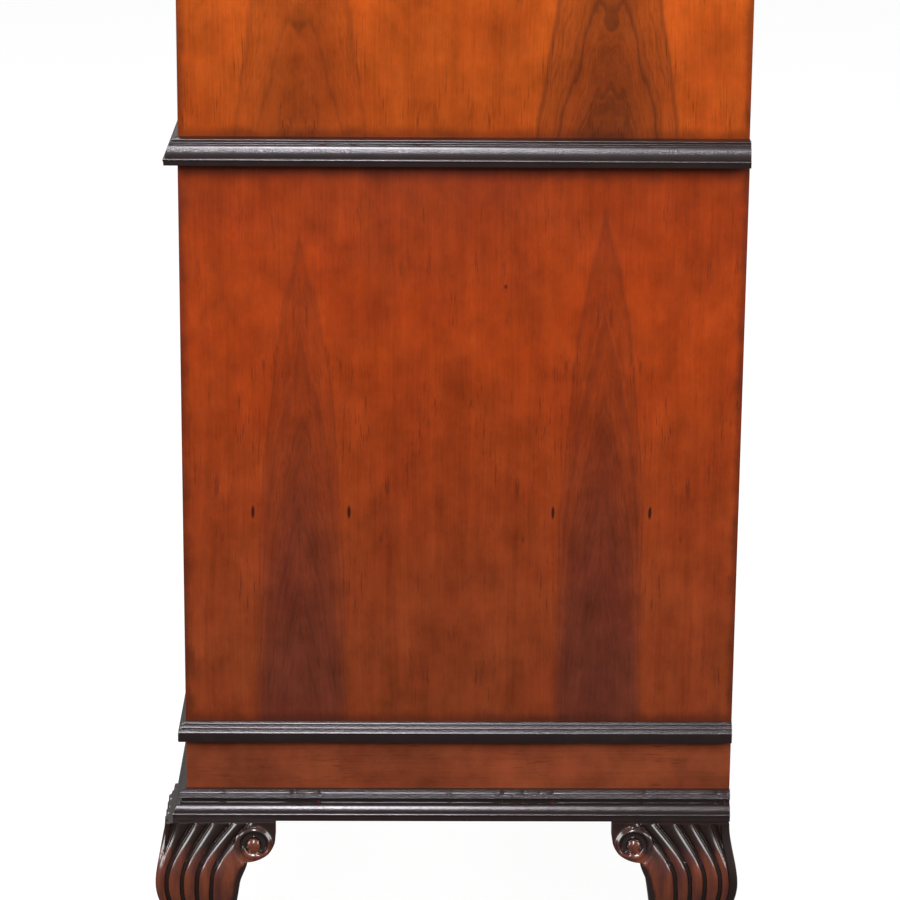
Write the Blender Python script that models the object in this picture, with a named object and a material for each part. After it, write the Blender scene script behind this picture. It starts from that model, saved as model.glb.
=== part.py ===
"""Tall chest of drawers: an upper case standing on a lower case, on a plinth with four legs.

Metres, +Z up, front facing -Y. The origin is on the floor under the middle of the whole chest.
Each case holds three drawers, and each drawer carries two brass pulls with swinging bails.
"""
import math

import bmesh
import bpy
from mathutils import Vector

# Overall sizes
CASE_WIDTH = 0.940            # lower case and plinth, side face to side face
CASE_DEPTH = 0.508            # both cases, front edge to back edge
UPPER_INSET = 0.008           # upper case, in from each side of the lower case
LEG_HEIGHT = 0.200            # floor to the underside of the base moulding
PLINTH_HEIGHT = 0.088
LOWER_CASE_HEIGHT = 0.545
UPPER_CASE_HEIGHT = 0.600

# Boards
SIDE_THICKNESS = 0.020
CASE_BOARD = 0.020            # bottom and top boards of the cases
TOP_THICKNESS = 0.020
TOP_OVERHANG = 0.034
TOP_ROUNDING = 0.005
BACK_THICKNESS = 0.008
DUST_BOARD = 0.018            # boards between the drawers
TOP_RAIL_HEIGHT = 0.048
TOP_RAIL_DEPTH = 0.060
PLINTH_THICKNESS = 0.022

# Mouldings, glued round the front and both sides
BASE_MOULDING_HEIGHT = 0.0285
BASE_MOULDING_REACH = 0.0130
CAP_MOULDING_HEIGHT = 0.019
CAP_MOULDING_REACH = 0.0070
CAP_MOULDING_DROP = 0.012     # part of the cap moulding below the plinth's top edge
WAIST_MOULDING_HEIGHT = 0.023
WAIST_MOULDING_REACH = 0.0125
WAIST_MOULDING_DROP = 0.0130  # part of the waist moulding below the lower case's top edge
CORNICE_HEIGHT = 0.042
CORNICE_REACH = 0.028

# Drawers
DRAWERS_PER_CASE = 3
DRAWER_STEP = 0.0135          # each drawer is this much deeper than the one above it
FRONT_THICKNESS = 0.020
FRONT_GAP = 0.0015            # all round a drawer front in its opening
FRONT_RECESS = 0.001          # veneered field, in from the edges of the case
BEAD_WIDTH = 0.004            # cock bead round each drawer front
BEAD_HEIGHT = 0.002
BOX_SIDE = 0.012
BOX_BOTTOM = 0.006
BOX_BOTTOM_RAISE = 0.008
BOX_SIDE_GAP = 0.002
BOX_LIFT = 0.001              # below the box, above the board that it slides on
BOX_TOP_GAP = 0.010
BOX_BACK_GAP = 0.020
BOX_BACK_DROP = 0.006         # the box's back is lower than its sides

# Brass pulls
PULL_OFFSET = 0.210           # middle of a pull from the middle of the chest
POST_SPACING = 0.088
POST_RADIUS = 0.0048
PLATE_LENGTH = 0.112
PLATE_HEIGHT = 0.052
PLATE_THICKNESS = 0.0015
PIVOT_STANDOFF = 0.0105       # bail's axis in front of the drawer's field
POST_CAP = 0.0046             # post, past the bail's axis
BAIL_RADIUS = 0.0023
BAIL_CLEARANCE = 0.0004       # round a bail's pin in its hole
PIN_DEPTH = 0.0034
BAIL_SHOULDER = 0.0050        # bail's arm, in from the post's surface
BAIL_DROP = 0.031

# Legs: short cabrioles with a bracket on each carved face
KNEE_REACH = 0.029            # beyond the face of the plinth
KNEE_HEIGHT = 0.142
LEG_TOP_REACH = 0.0205
ANKLE_REACH = 0.004
ANKLE_HEIGHT = 0.056
FOOT_REACH = 0.015
FOOT_HEIGHT = 0.012
SOLE_REACH = 0.011
POST_TOP_WIDTH = 0.057        # inner face of the leg's post from the corner of the plinth
POST_KNEE_WIDTH = 0.050
ANKLE_INNER = 0.040
FOOT_INNER = 0.045
BRACKET_LENGTH = 0.083        # from the corner of the plinth
BRACKET_DROP = 0.0365          # height of the bracket's scroll
BRACKET_THICKNESS = 0.024     # at its tip
BRACKET_ROOT = 0.034          # where it meets the post
LEG_CORNER_RADIUS = 0.012
REAR_LEG_SETBACK = 0.0213     # a rear leg reaches this much less beyond the back
REAR_LEG_SHIFT = 0.027        # and its carved face starts this much further in
LEG_STATIONS = 22

FIT = 0.0003                  # between glued or resting faces

# Levels worked out from the sizes above
PLINTH_TOP = LEG_HEIGHT + PLINTH_HEIGHT
LOWER_TOP = PLINTH_TOP + LOWER_CASE_HEIGHT
UPPER_TOP = LOWER_TOP + UPPER_CASE_HEIGHT
FRONT_REACH = max(TOP_OVERHANG, KNEE_REACH)
BACK_REACH = max(0.0, KNEE_REACH - REAR_LEG_SETBACK)
MIDDLE_Y = (FRONT_REACH - BACK_REACH) / 2
FRONT_Y = MIDDLE_Y - CASE_DEPTH / 2
BACK_Y = MIDDLE_Y + CASE_DEPTH / 2
LOWER_HALF = CASE_WIDTH / 2
UPPER_HALF = LOWER_HALF - UPPER_INSET
INSIDE_BACK_Y = BACK_Y - BACK_THICKNESS - FIT


# ---- materials ---------------------------------------------------------

FINISHES = {
    "figured_veneer": ((0.300, 0.060, 0.012, 1), 0.34, 0.0),
    "plinth_veneer": ((0.160, 0.040, 0.018, 1), 0.38, 0.0),
    "dark_moulding": ((0.030, 0.018, 0.014, 1), 0.30, 0.0),
    "carved_wood": ((0.060, 0.018, 0.012, 1), 0.34, 0.0),
    "case_wood": ((0.220, 0.110, 0.050, 1), 0.60, 0.0),
    "drawer_wood": ((0.420, 0.260, 0.130, 1), 0.60, 0.0),
    "back_panel": ((0.160, 0.090, 0.050, 1), 0.75, 0.0),
    "aged_brass": ((0.560, 0.370, 0.130, 1), 0.32, 1.0),
}


def own_material(name, finish):
    """A Principled material of its own for one sub-part."""
    colour, roughness, metallic = FINISHES[finish]
    material = bpy.data.materials.new(name + "_" + finish)
    material.use_nodes = True
    shader = material.node_tree.nodes["Principled BSDF"]
    shader.inputs["Base Color"].default_value = colour
    shader.inputs["Roughness"].default_value = roughness
    shader.inputs["Metallic"].default_value = metallic
    material.diffuse_color = colour
    return material


# ---- tools -------------------------------------------------------------

def clear_scene():
    for item in list(bpy.data.objects):
        bpy.data.objects.remove(item, do_unlink=True)


def add_object(name, data, finish=None):
    item = bpy.data.objects.new(name, data)
    bpy.context.scene.collection.objects.link(item)
    if finish:
        item.data.materials.append(own_material(name, finish))
    return item


def mesh_from_bmesh(name, shape):
    bmesh.ops.recalc_face_normals(shape, faces=shape.faces)
    if shape.calc_volume(signed=True) < 0:
        bmesh.ops.reverse_faces(shape, faces=shape.faces)
    mesh = bpy.data.meshes.new(name)
    shape.to_mesh(mesh)
    shape.free()
    return mesh


def box_shape(low, high):
    """A bmesh box between two corners."""
    shape = bmesh.new()
    bmesh.ops.create_cube(shape, size=1.0)
    low = Vector(low)
    high = Vector(high)
    middle = (low + high) / 2
    size = high - low
    for vertex in shape.verts:
        vertex.co = Vector([middle[i] + vertex.co[i] * size[i] for i in range(3)])
    return shape


def add_box(name, low, high, finish):
    return add_object(name, mesh_from_bmesh(name, box_shape(low, high)), finish)


def add_loft(name, rings, finish):
    """A closed solid through rings of equal length, capped at both ends."""
    shape = bmesh.new()
    loops = [[shape.verts.new(point) for point in ring] for ring in rings]
    count = len(loops[0])
    for lower, upper in zip(loops, loops[1:]):
        for i in range(count):
            j = (i + 1) % count
            shape.faces.new((lower[i], lower[j], upper[j], upper[i]))
    shape.faces.new(list(reversed(loops[0])))
    shape.faces.new(loops[-1])
    return add_object(name, mesh_from_bmesh(name, shape), finish)


def boolean(item, tool, operation):
    """Cuts or joins another object's shape, which stays as a hidden guide."""
    tool.hide_render = True
    tool.display_type = "WIRE"
    modifier = item.modifiers.new(tool.name, "BOOLEAN")
    modifier.operation = operation
    modifier.solver = "EXACT"
    modifier.object = tool


def carve(item, label, low, high):
    cutter = add_object(item.name + "_" + label, mesh_from_bmesh(label, box_shape(low, high)))
    boolean(item, cutter, "DIFFERENCE")


def smooth_between(keys, height):
    """A value that passes smoothly through (height, value) keys, level at its turning points."""
    slopes = []
    for i, (z, value) in enumerate(keys):
        before = keys[max(i - 1, 0)]
        after = keys[min(i + 1, len(keys) - 1)]
        turns = (value - before[1]) * (after[1] - value) <= 0
        slopes.append(0.0 if turns else (after[1] - before[1]) / (after[0] - before[0]))
    for i in range(len(keys) - 1):
        z0, v0 = keys[i]
        z1, v1 = keys[i + 1]
        if height <= z1 or i == len(keys) - 2:
            span = z1 - z0
            t = min(max((height - z0) / span, 0.0), 1.0)
            rise = t * t * (3 - 2 * t)
            start = span * slopes[i] * t * (1 - t) ** 2
            finish = span * slopes[i + 1] * t * t * (t - 1)
            return v0 + (v1 - v0) * rise + start + finish


# ---- mouldings ---------------------------------------------------------

def quarter(centre, radius, start, turn, steps):
    """Points of an arc, angles in degrees; radius is (along reach, along height)."""
    points = []
    for i in range(steps + 1):
        angle = math.radians(start + turn * i / steps)
        reach = centre[0] + radius[0] * math.cos(angle)
        height = centre[1] + radius[1] * math.sin(angle)
        points.append((reach, height))
    return points


def add_moulding(name, profile, half_width, bottom, finish):
    """A mitred moulding round the front and both sides.

    The profile is a closed outline of (reach from the case's face, height above the bottom).
    """
    rings = []
    for side, y, follows in ((-1, BACK_Y, 0), (-1, FRONT_Y, 1), (1, FRONT_Y, 1), (1, BACK_Y, 0)):
        ring = []
        for reach, height in profile:
            ring.append((side * (half_width + reach), y - follows * reach, bottom + height))
        rings.append(ring)
    return add_loft(name, rings, finish)


def base_profile():
    """Stepped fillet, ovolo and bead over a square foot."""
    reach = BASE_MOULDING_REACH
    height = BASE_MOULDING_HEIGHT
    points = [(FIT, 0.0), (reach - 0.001, 0.0), (reach, 0.001), (reach, 0.0050)]
    points += quarter((reach - 0.0016, 0.0072), (0.0014, 0.0016), -90, 180, 3)
    points += quarter((reach - 0.0075, 0.0100), (0.0065, 0.0095), 0, 90, 4)
    points += [(reach - 0.0080, 0.0210), (reach - 0.0062, 0.0230)]
    points += [(reach - 0.0070, height - 0.0012), (reach - 0.0085, height), (FIT, height)]
    return points


def cap_profile():
    """Flat fillet under a sloping top."""
    reach = CAP_MOULDING_REACH
    height = CAP_MOULDING_HEIGHT
    points = [(FIT, 0.0), (reach - 0.0015, 0.0)]
    points += quarter((reach - 0.0015, 0.0015), (0.0015, 0.0015), -60, 60, 2)
    points += [(reach, 0.0095), (reach - 0.0018, 0.0110), (reach - 0.0040, 0.0150)]
    points += [(reach - 0.0050, 0.0175), (reach - 0.0055, height), (FIT, height)]
    return points


def waist_profile():
    """Fillet, ovolo and bead, with a rebate that sits on the lower case's top edge."""
    reach = WAIST_MOULDING_REACH
    height = WAIST_MOULDING_HEIGHT
    seat = WAIST_MOULDING_DROP + FIT
    points = [(FIT, 0.0), (reach - 0.0008, 0.0), (reach - 0.0005, 0.0039)]
    points += quarter((reach - 0.0011, 0.0050), (0.0011, 0.0011), -60, 150, 4)
    points += quarter((reach - 0.0080, 0.0064), (0.0062, 0.0128), 2, 80, 5)
    points += [(reach - 0.0074, 0.0196), (reach - 0.0062, 0.0210)]
    points += [(reach - 0.0066, height), (FIT - UPPER_INSET, height), (FIT - UPPER_INSET, seat)]
    points += [(FIT, seat)]
    return points


def cornice_profile():
    """Bead, deep cove and fillet under the top board."""
    reach = CORNICE_REACH
    height = CORNICE_HEIGHT
    points = [(FIT, 0.0), (0.0040, 0.0), (0.0055, 0.0015), (0.0055, 0.0060)]
    points += quarter((reach, 0.0090), (reach - 0.0070, height - 0.0160), 180, -90, 5)
    points += [(reach, height - 0.0055), (reach, height), (FIT, height)]
    return points


def make_mouldings():
    add_moulding("base_moulding", base_profile(), LOWER_HALF, LEG_HEIGHT, "dark_moulding")
    cap_bottom = PLINTH_TOP - CAP_MOULDING_DROP
    add_moulding("plinth_cap_moulding", cap_profile(), LOWER_HALF, cap_bottom, "dark_moulding")
    bottom = LOWER_TOP - WAIST_MOULDING_DROP
    waist = add_moulding("waist_moulding", waist_profile(), LOWER_HALF, bottom, "dark_moulding")
    level_front_seat(waist)
    bottom = UPPER_TOP - CORNICE_HEIGHT
    add_moulding("cornice_moulding", cornice_profile(), UPPER_HALF, bottom, "dark_moulding")


def level_front_seat(waist):
    """The cases are flush at the front, so the moulding is not rebated there."""
    for vertex in waist.data.vertices:
        if abs(vertex.co.y - BACK_Y) > FIT:
            vertex.co.y = min(vertex.co.y, FRONT_Y - FIT)


# ---- cases and plinth --------------------------------------------------

def make_case(case, half_width, bottom, top):
    """Sides, back and bottom board of one case."""
    for side, sign in (("left", -1), ("right", 1)):
        outer = sign * half_width
        inner = sign * (half_width - SIDE_THICKNESS)
        low = (min(outer, inner), FRONT_Y, bottom)
        high = (max(outer, inner), BACK_Y, top)
        add_box(case + "_side_" + side, low, high, "figured_veneer")
    clear = half_width - SIDE_THICKNESS - FIT
    low = (-clear, BACK_Y - BACK_THICKNESS, bottom)
    add_box(case + "_back_panel", low, (clear, BACK_Y, top), "back_panel")
    low = (-clear, FRONT_Y, bottom)
    high = (clear, INSIDE_BACK_Y, bottom + CASE_BOARD)
    add_box(case + "_bottom_board", low, high, "case_wood")


def make_cases():
    make_case("lower", LOWER_HALF, PLINTH_TOP + FIT, LOWER_TOP)
    make_case("upper", UPPER_HALF, LOWER_TOP + FIT, UPPER_TOP)
    clear = LOWER_HALF - SIDE_THICKNESS - FIT
    low = (-clear, FRONT_Y, LOWER_TOP - CASE_BOARD)
    add_box("lower_top_board", low, (clear, INSIDE_BACK_Y, LOWER_TOP), "case_wood")
    clear = UPPER_HALF - SIDE_THICKNESS - FIT
    low = (-clear, FRONT_Y, UPPER_TOP - TOP_RAIL_HEIGHT)
    high = (clear, FRONT_Y + TOP_RAIL_DEPTH, UPPER_TOP)
    add_box("upper_top_rail", low, high, "figured_veneer")


def make_top():
    edge = UPPER_HALF + TOP_OVERHANG
    low = (-edge, FRONT_Y - TOP_OVERHANG, UPPER_TOP + FIT)
    high = (edge, BACK_Y, UPPER_TOP + FIT + TOP_THICKNESS)
    top = add_box("top_board", low, high, "figured_veneer")
    bevel = top.modifiers.new("rounded_edge", "BEVEL")
    bevel.width = TOP_ROUNDING
    bevel.segments = 2
    bevel.limit_method = "NONE"


def make_plinth():
    low = (-LOWER_HALF, FRONT_Y, LEG_HEIGHT)
    plinth = add_box("plinth_frame", low, (LOWER_HALF, BACK_Y, PLINTH_TOP), "plinth_veneer")
    wall = PLINTH_THICKNESS
    low = (wall - LOWER_HALF, FRONT_Y + wall, LEG_HEIGHT - wall)
    carve(plinth, "hollow", low, (LOWER_HALF - wall, BACK_Y - wall, PLINTH_TOP + wall))


# ---- legs --------------------------------------------------------------

def leg_reach(height):
    """How far the leg stands out beyond the plinth's face."""
    keys = [(0.0, SOLE_REACH), (FOOT_HEIGHT, FOOT_REACH), (ANKLE_HEIGHT, ANKLE_REACH)]
    keys += [(KNEE_HEIGHT, KNEE_REACH), (LEG_HEIGHT, LEG_TOP_REACH)]
    return smooth_between(keys, height)


def leg_inner(height):
    """Inner face of the leg's post, from the plinth's corner."""
    scroll_bottom = LEG_HEIGHT - BRACKET_DROP
    keys = [(0.0, FOOT_INNER), (ANKLE_HEIGHT, ANKLE_INNER), (KNEE_HEIGHT, POST_KNEE_WIDTH)]
    keys += [(scroll_bottom, POST_TOP_WIDTH), (LEG_HEIGHT, POST_TOP_WIDTH)]
    return smooth_between(keys, height)


def bracket_tip(height):
    """End of the bracket: a round scroll under the plinth, then the leg's own inner face."""
    scroll_bottom = LEG_HEIGHT - BRACKET_DROP
    post = leg_inner(height)
    if height <= scroll_bottom:
        return post
    rise = (height - scroll_bottom) / BRACKET_DROP
    round_end = math.sqrt(1 - (1 - min(rise * 1.8, 1.0)) ** 2)
    return post + (BRACKET_LENGTH - post) * round_end


def leg_heights():
    """Stations up the leg, closer together where the scroll turns."""
    scroll_bottom = LEG_HEIGHT - BRACKET_DROP
    below = LEG_STATIONS * 2 // 3
    above = LEG_STATIONS - below
    heights = [scroll_bottom * i / below for i in range(below + 1)]
    heights += [scroll_bottom + (BRACKET_DROP - FIT) * (i / above) ** 1.6 for i in range(1, above + 1)]
    return heights


def leg_section(height, rear):
    """Outline of the leg in plan: inward from the plinth's corner is positive on both axes."""
    reach = leg_reach(height)
    shift = REAR_LEG_SHIFT if rear else 0.0
    end = -(reach - REAR_LEG_SETBACK) if rear else -reach
    radius = LEG_CORNER_RADIUS / 3 if rear else LEG_CORNER_RADIUS
    tip = bracket_tip(height) + shift
    post = leg_inner(height)
    outline = [(tip, -reach), ((tip + end + radius) / 2, -reach)]
    for i in range(4):
        angle = math.radians(30 * i)
        u = end + radius - radius * math.sin(angle)
        outline.append((u, -reach + radius - radius * math.cos(angle)))
    if rear:
        outline += [(end, post)]
    else:
        outline += [(end, (bracket_tip(height) + end + radius) / 2), (end, bracket_tip(height))]
        outline += [(end + BRACKET_THICKNESS, bracket_tip(height)), (end + BRACKET_ROOT, post)]
    outline += [(post + shift, post), (post + shift, -reach + BRACKET_ROOT)]
    outline += [(tip, -reach + BRACKET_THICKNESS)]
    return outline


def make_leg(name, side, rear):
    rings = []
    for height in leg_heights():
        ring = []
        for u, v in leg_section(height, rear):
            y = BACK_Y - u if rear else FRONT_Y + u
            ring.append((side * (LOWER_HALF - v), y, height))
        rings.append(ring)
    return add_loft(name, rings, "carved_wood")


def make_legs():
    for label, side in (("left", -1), ("right", 1)):
        make_leg("front_leg_" + label, side, False)
        make_leg("rear_leg_" + label, side, True)


# ---- drawers -----------------------------------------------------------

def drawer_openings(bottom, top):
    """Lower and upper edges of each drawer's opening, from the top drawer down."""
    boards = DUST_BOARD * (DRAWERS_PER_CASE - 1)
    average = (top - bottom - boards) / DRAWERS_PER_CASE
    openings = []
    ceiling = top
    for i in range(DRAWERS_PER_CASE):
        height = average + DRAWER_STEP * (i - (DRAWERS_PER_CASE - 1) / 2)
        openings.append((ceiling - height, ceiling))
        ceiling -= height + DUST_BOARD
    return openings


def make_drawer_front(name, half_width, bottom, top):
    """A board whose field is sunk inside a raised cock bead."""
    bead_face = FRONT_Y + FRONT_RECESS - BEAD_HEIGHT
    back = FRONT_Y + FRONT_RECESS + FRONT_THICKNESS
    shape = box_shape((-half_width, bead_face, bottom), (half_width, back, top))
    face = min(shape.faces, key=lambda f: f.calc_center_median().y)
    bmesh.ops.inset_region(shape, faces=[face], thickness=BEAD_WIDTH, use_even_offset=True)
    for vertex in face.verts:
        vertex.co.y += BEAD_HEIGHT
    return add_object(name + "_front", mesh_from_bmesh(name, shape), "figured_veneer")


def make_drawer_box(name, half_width, bottom, top):
    """Two sides, a lower back and a bottom panel set above the sides' lower edges."""
    front = FRONT_Y + FRONT_RECESS + FRONT_THICKNESS + FIT
    back = INSIDE_BACK_Y - BOX_BACK_GAP
    low = (-half_width, front, bottom)
    tray = add_box(name + "_box", low, (half_width, back, top), "drawer_wood")
    inner = half_width - BOX_SIDE
    floor = bottom + BOX_BOTTOM_RAISE
    low = (-inner, front - BOX_SIDE, floor + BOX_BOTTOM)
    carve(tray, "inside", low, (inner, back - BOX_SIDE, top + BOX_SIDE))
    low = (-inner, front - BOX_SIDE, bottom - BOX_SIDE)
    carve(tray, "underside", low, (inner, back - BOX_SIDE, floor))
    low = (-inner, back - 2 * BOX_SIDE, top - BOX_BACK_DROP)
    carve(tray, "back_edge", low, (inner, back + BOX_SIDE, top + BOX_SIDE))
    return tray


def plate_outline():
    """Half-lobed outline of a pull's plate, as (x, z) from its middle."""
    points = []
    steps = 24
    for i in range(steps):
        angle = 2 * math.pi * i / steps
        lobe = 1 + 0.16 * math.cos(4 * angle)
        x = PLATE_LENGTH / 2 * math.cos(angle) * lobe / 1.16
        points.append((x, PLATE_HEIGHT / 2 * math.sin(angle) * lobe / 1.16))
    return points


def turned_post(name, x, z, back, front):
    """A round post standing out of the drawer's face, as a closed cylinder along Y."""
    shape = bmesh.new()
    bmesh.ops.create_cone(shape, cap_ends=True, segments=10, radius1=POST_RADIUS,
                          radius2=POST_RADIUS, depth=back - front)
    for vertex in shape.verts:
        vertex.co = (x + vertex.co.x, (back + front) / 2 + vertex.co.z, z + vertex.co.y)
    return add_object(name, mesh_from_bmesh(name, shape))


def pin_hole(name, middle_x, x, y, z):
    """A blind hole in the post's inner side for the bail's pin."""
    towards = 1 if middle_x > x else -1
    depth = PIN_DEPTH + BAIL_CLEARANCE
    start = x + towards * (POST_RADIUS - depth)
    length = depth + POST_RADIUS
    shape = bmesh.new()
    radius = BAIL_RADIUS + BAIL_CLEARANCE
    bmesh.ops.create_cone(shape, cap_ends=True, segments=8, radius1=radius, radius2=radius, depth=length)
    for vertex in shape.verts:
        along = start + towards * length / 2 + vertex.co.z
        vertex.co = (along, y + vertex.co.x, z + vertex.co.y)
    return add_object(name, mesh_from_bmesh(name, shape))


def make_pull(name, x, z, face):
    """Plate and two posts, one solid."""
    rings = []
    for y in (face - FIT, face - FIT - PLATE_THICKNESS):
        rings.append([(x + px, y, z + pz) for px, pz in plate_outline()])
    plate = add_loft(name, rings, "aged_brass")
    axis_y = face - PIVOT_STANDOFF
    for label, side in (("near", -1), ("far", 1)):
        post_x = x + side * POST_SPACING / 2
        back = face - FIT - PLATE_THICKNESS / 2
        post = turned_post(name + "_post_" + label, post_x, z, back, axis_y - POST_CAP)
        boolean(plate, post, "UNION")
        boolean(plate, pin_hole(name + "_hole_" + label, x, post_x, axis_y, z), "DIFFERENCE")
    return plate


def bail_path():
    """One half of the bail's line from its pin to its lowest point, as (x, z)."""
    pin_end = POST_SPACING / 2 - POST_RADIUS + PIN_DEPTH
    shoulder = POST_SPACING / 2 - POST_RADIUS - BAIL_SHOULDER
    bend = BAIL_RADIUS
    points = [(pin_end, 0.0), (shoulder + bend, 0.0), (shoulder, -bend)]
    steps = 5
    for i in range(1, steps + 1):
        angle = math.radians(90 * i / steps)
        x = shoulder * math.cos(angle) ** 0.7
        points.append((x, -bend - (BAIL_DROP - bend) * math.sin(angle) ** 0.8))
    return points


def make_bail(name, x, z, face):
    """A bent rod that hangs from its two pins; its origin is on the pins' axis."""
    half = bail_path()
    line = [(-px, pz) for px, pz in half[:-1]] + [(0.0, half[-1][1])]
    line += [(px, pz) for px, pz in reversed(half[:-1])]
    curve = bpy.data.curves.new(name, "CURVE")
    curve.dimensions = "3D"
    curve.bevel_depth = BAIL_RADIUS
    curve.bevel_resolution = 1
    curve.use_fill_caps = True
    spline = curve.splines.new("POLY")
    spline.points.add(len(line) - 1)
    for point, (px, pz) in zip(spline.points, line):
        point.co = (px, 0.0, pz, 1.0)
    bail = add_object(name, curve, "aged_brass")
    bail.location = (x, face - PIVOT_STANDOFF, z)
    return bail


def make_drawer(name, half_width, opening):
    bottom, top = opening
    make_drawer_front(name, half_width - FRONT_GAP, bottom + FRONT_GAP, top - FRONT_GAP)
    make_drawer_box(name, half_width - BOX_SIDE_GAP, bottom + BOX_LIFT, top - BOX_TOP_GAP)
    middle = (bottom + top) / 2
    face = FRONT_Y + FRONT_RECESS
    for label, side in (("left", -1), ("right", 1)):
        x = side * PULL_OFFSET
        make_pull(name + "_pull_" + label, x, middle, face)
        make_bail(name + "_bail_" + label, x, middle, face)


def make_drawers():
    lower = (PLINTH_TOP + FIT + CASE_BOARD, LOWER_TOP - CASE_BOARD, LOWER_HALF)
    upper = (LOWER_TOP + FIT + CASE_BOARD, UPPER_TOP - TOP_RAIL_HEIGHT, UPPER_HALF)
    for case, (bottom, top, half_width) in (("upper", upper), ("lower", lower)):
        inside = half_width - SIDE_THICKNESS
        openings = drawer_openings(bottom, top)
        for number, opening in enumerate(openings, start=1):
            make_drawer(case + "_drawer_" + str(number), inside, opening)
        for number, opening in enumerate(openings[:-1], start=1):
            low = (FIT - inside, FRONT_Y, opening[0] - DUST_BOARD)
            high = (inside - FIT, INSIDE_BACK_Y, opening[0])
            add_box(case + "_dust_board_" + str(number), low, high, "case_wood")


clear_scene()
make_legs()
make_plinth()
make_cases()
make_top()
make_mouldings()
make_drawers()
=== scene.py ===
import math
import random

import bmesh
import bpy
from mathutils import Matrix, Vector


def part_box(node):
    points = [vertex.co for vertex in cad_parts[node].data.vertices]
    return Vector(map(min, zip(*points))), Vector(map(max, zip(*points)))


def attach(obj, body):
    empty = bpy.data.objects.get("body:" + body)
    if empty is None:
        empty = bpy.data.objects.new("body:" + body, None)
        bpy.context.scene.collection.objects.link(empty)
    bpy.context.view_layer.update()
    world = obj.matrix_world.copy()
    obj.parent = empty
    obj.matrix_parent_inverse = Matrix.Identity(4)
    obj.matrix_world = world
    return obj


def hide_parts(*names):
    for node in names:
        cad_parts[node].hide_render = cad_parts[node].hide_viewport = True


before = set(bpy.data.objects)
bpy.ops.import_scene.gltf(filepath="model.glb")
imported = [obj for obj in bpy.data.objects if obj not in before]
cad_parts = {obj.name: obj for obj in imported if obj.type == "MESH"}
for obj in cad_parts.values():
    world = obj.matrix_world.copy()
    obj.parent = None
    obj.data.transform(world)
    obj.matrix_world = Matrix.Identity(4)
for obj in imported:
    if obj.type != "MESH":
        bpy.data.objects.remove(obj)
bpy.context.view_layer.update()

MM = 0.001

# Sizes read from the frame
SIDE_LOW, SIDE_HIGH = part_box("lower_side_right")
UPPER_LOW, UPPER_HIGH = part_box("upper_side_right")
BASE_LOW, BASE_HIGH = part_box("base_moulding")
CAP_LOW, CAP_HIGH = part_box("plinth_cap_moulding")
WAIST_LOW, WAIST_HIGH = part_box("waist_moulding")
CORNICE_LOW, CORNICE_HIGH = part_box("cornice_moulding")
FRONT_Y = SIDE_LOW.y
BACK_Y = SIDE_HIGH.y
MIDDLE_Y = (FRONT_Y + BACK_Y) / 2
LOWER_HALF = SIDE_HIGH.x
UPPER_HALF = UPPER_HIGH.x
DRAWERS = [case + "_drawer_" + str(i) for case in ("upper", "lower") for i in (1, 2, 3)]


# ---- node graphs -------------------------------------------------------

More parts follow.
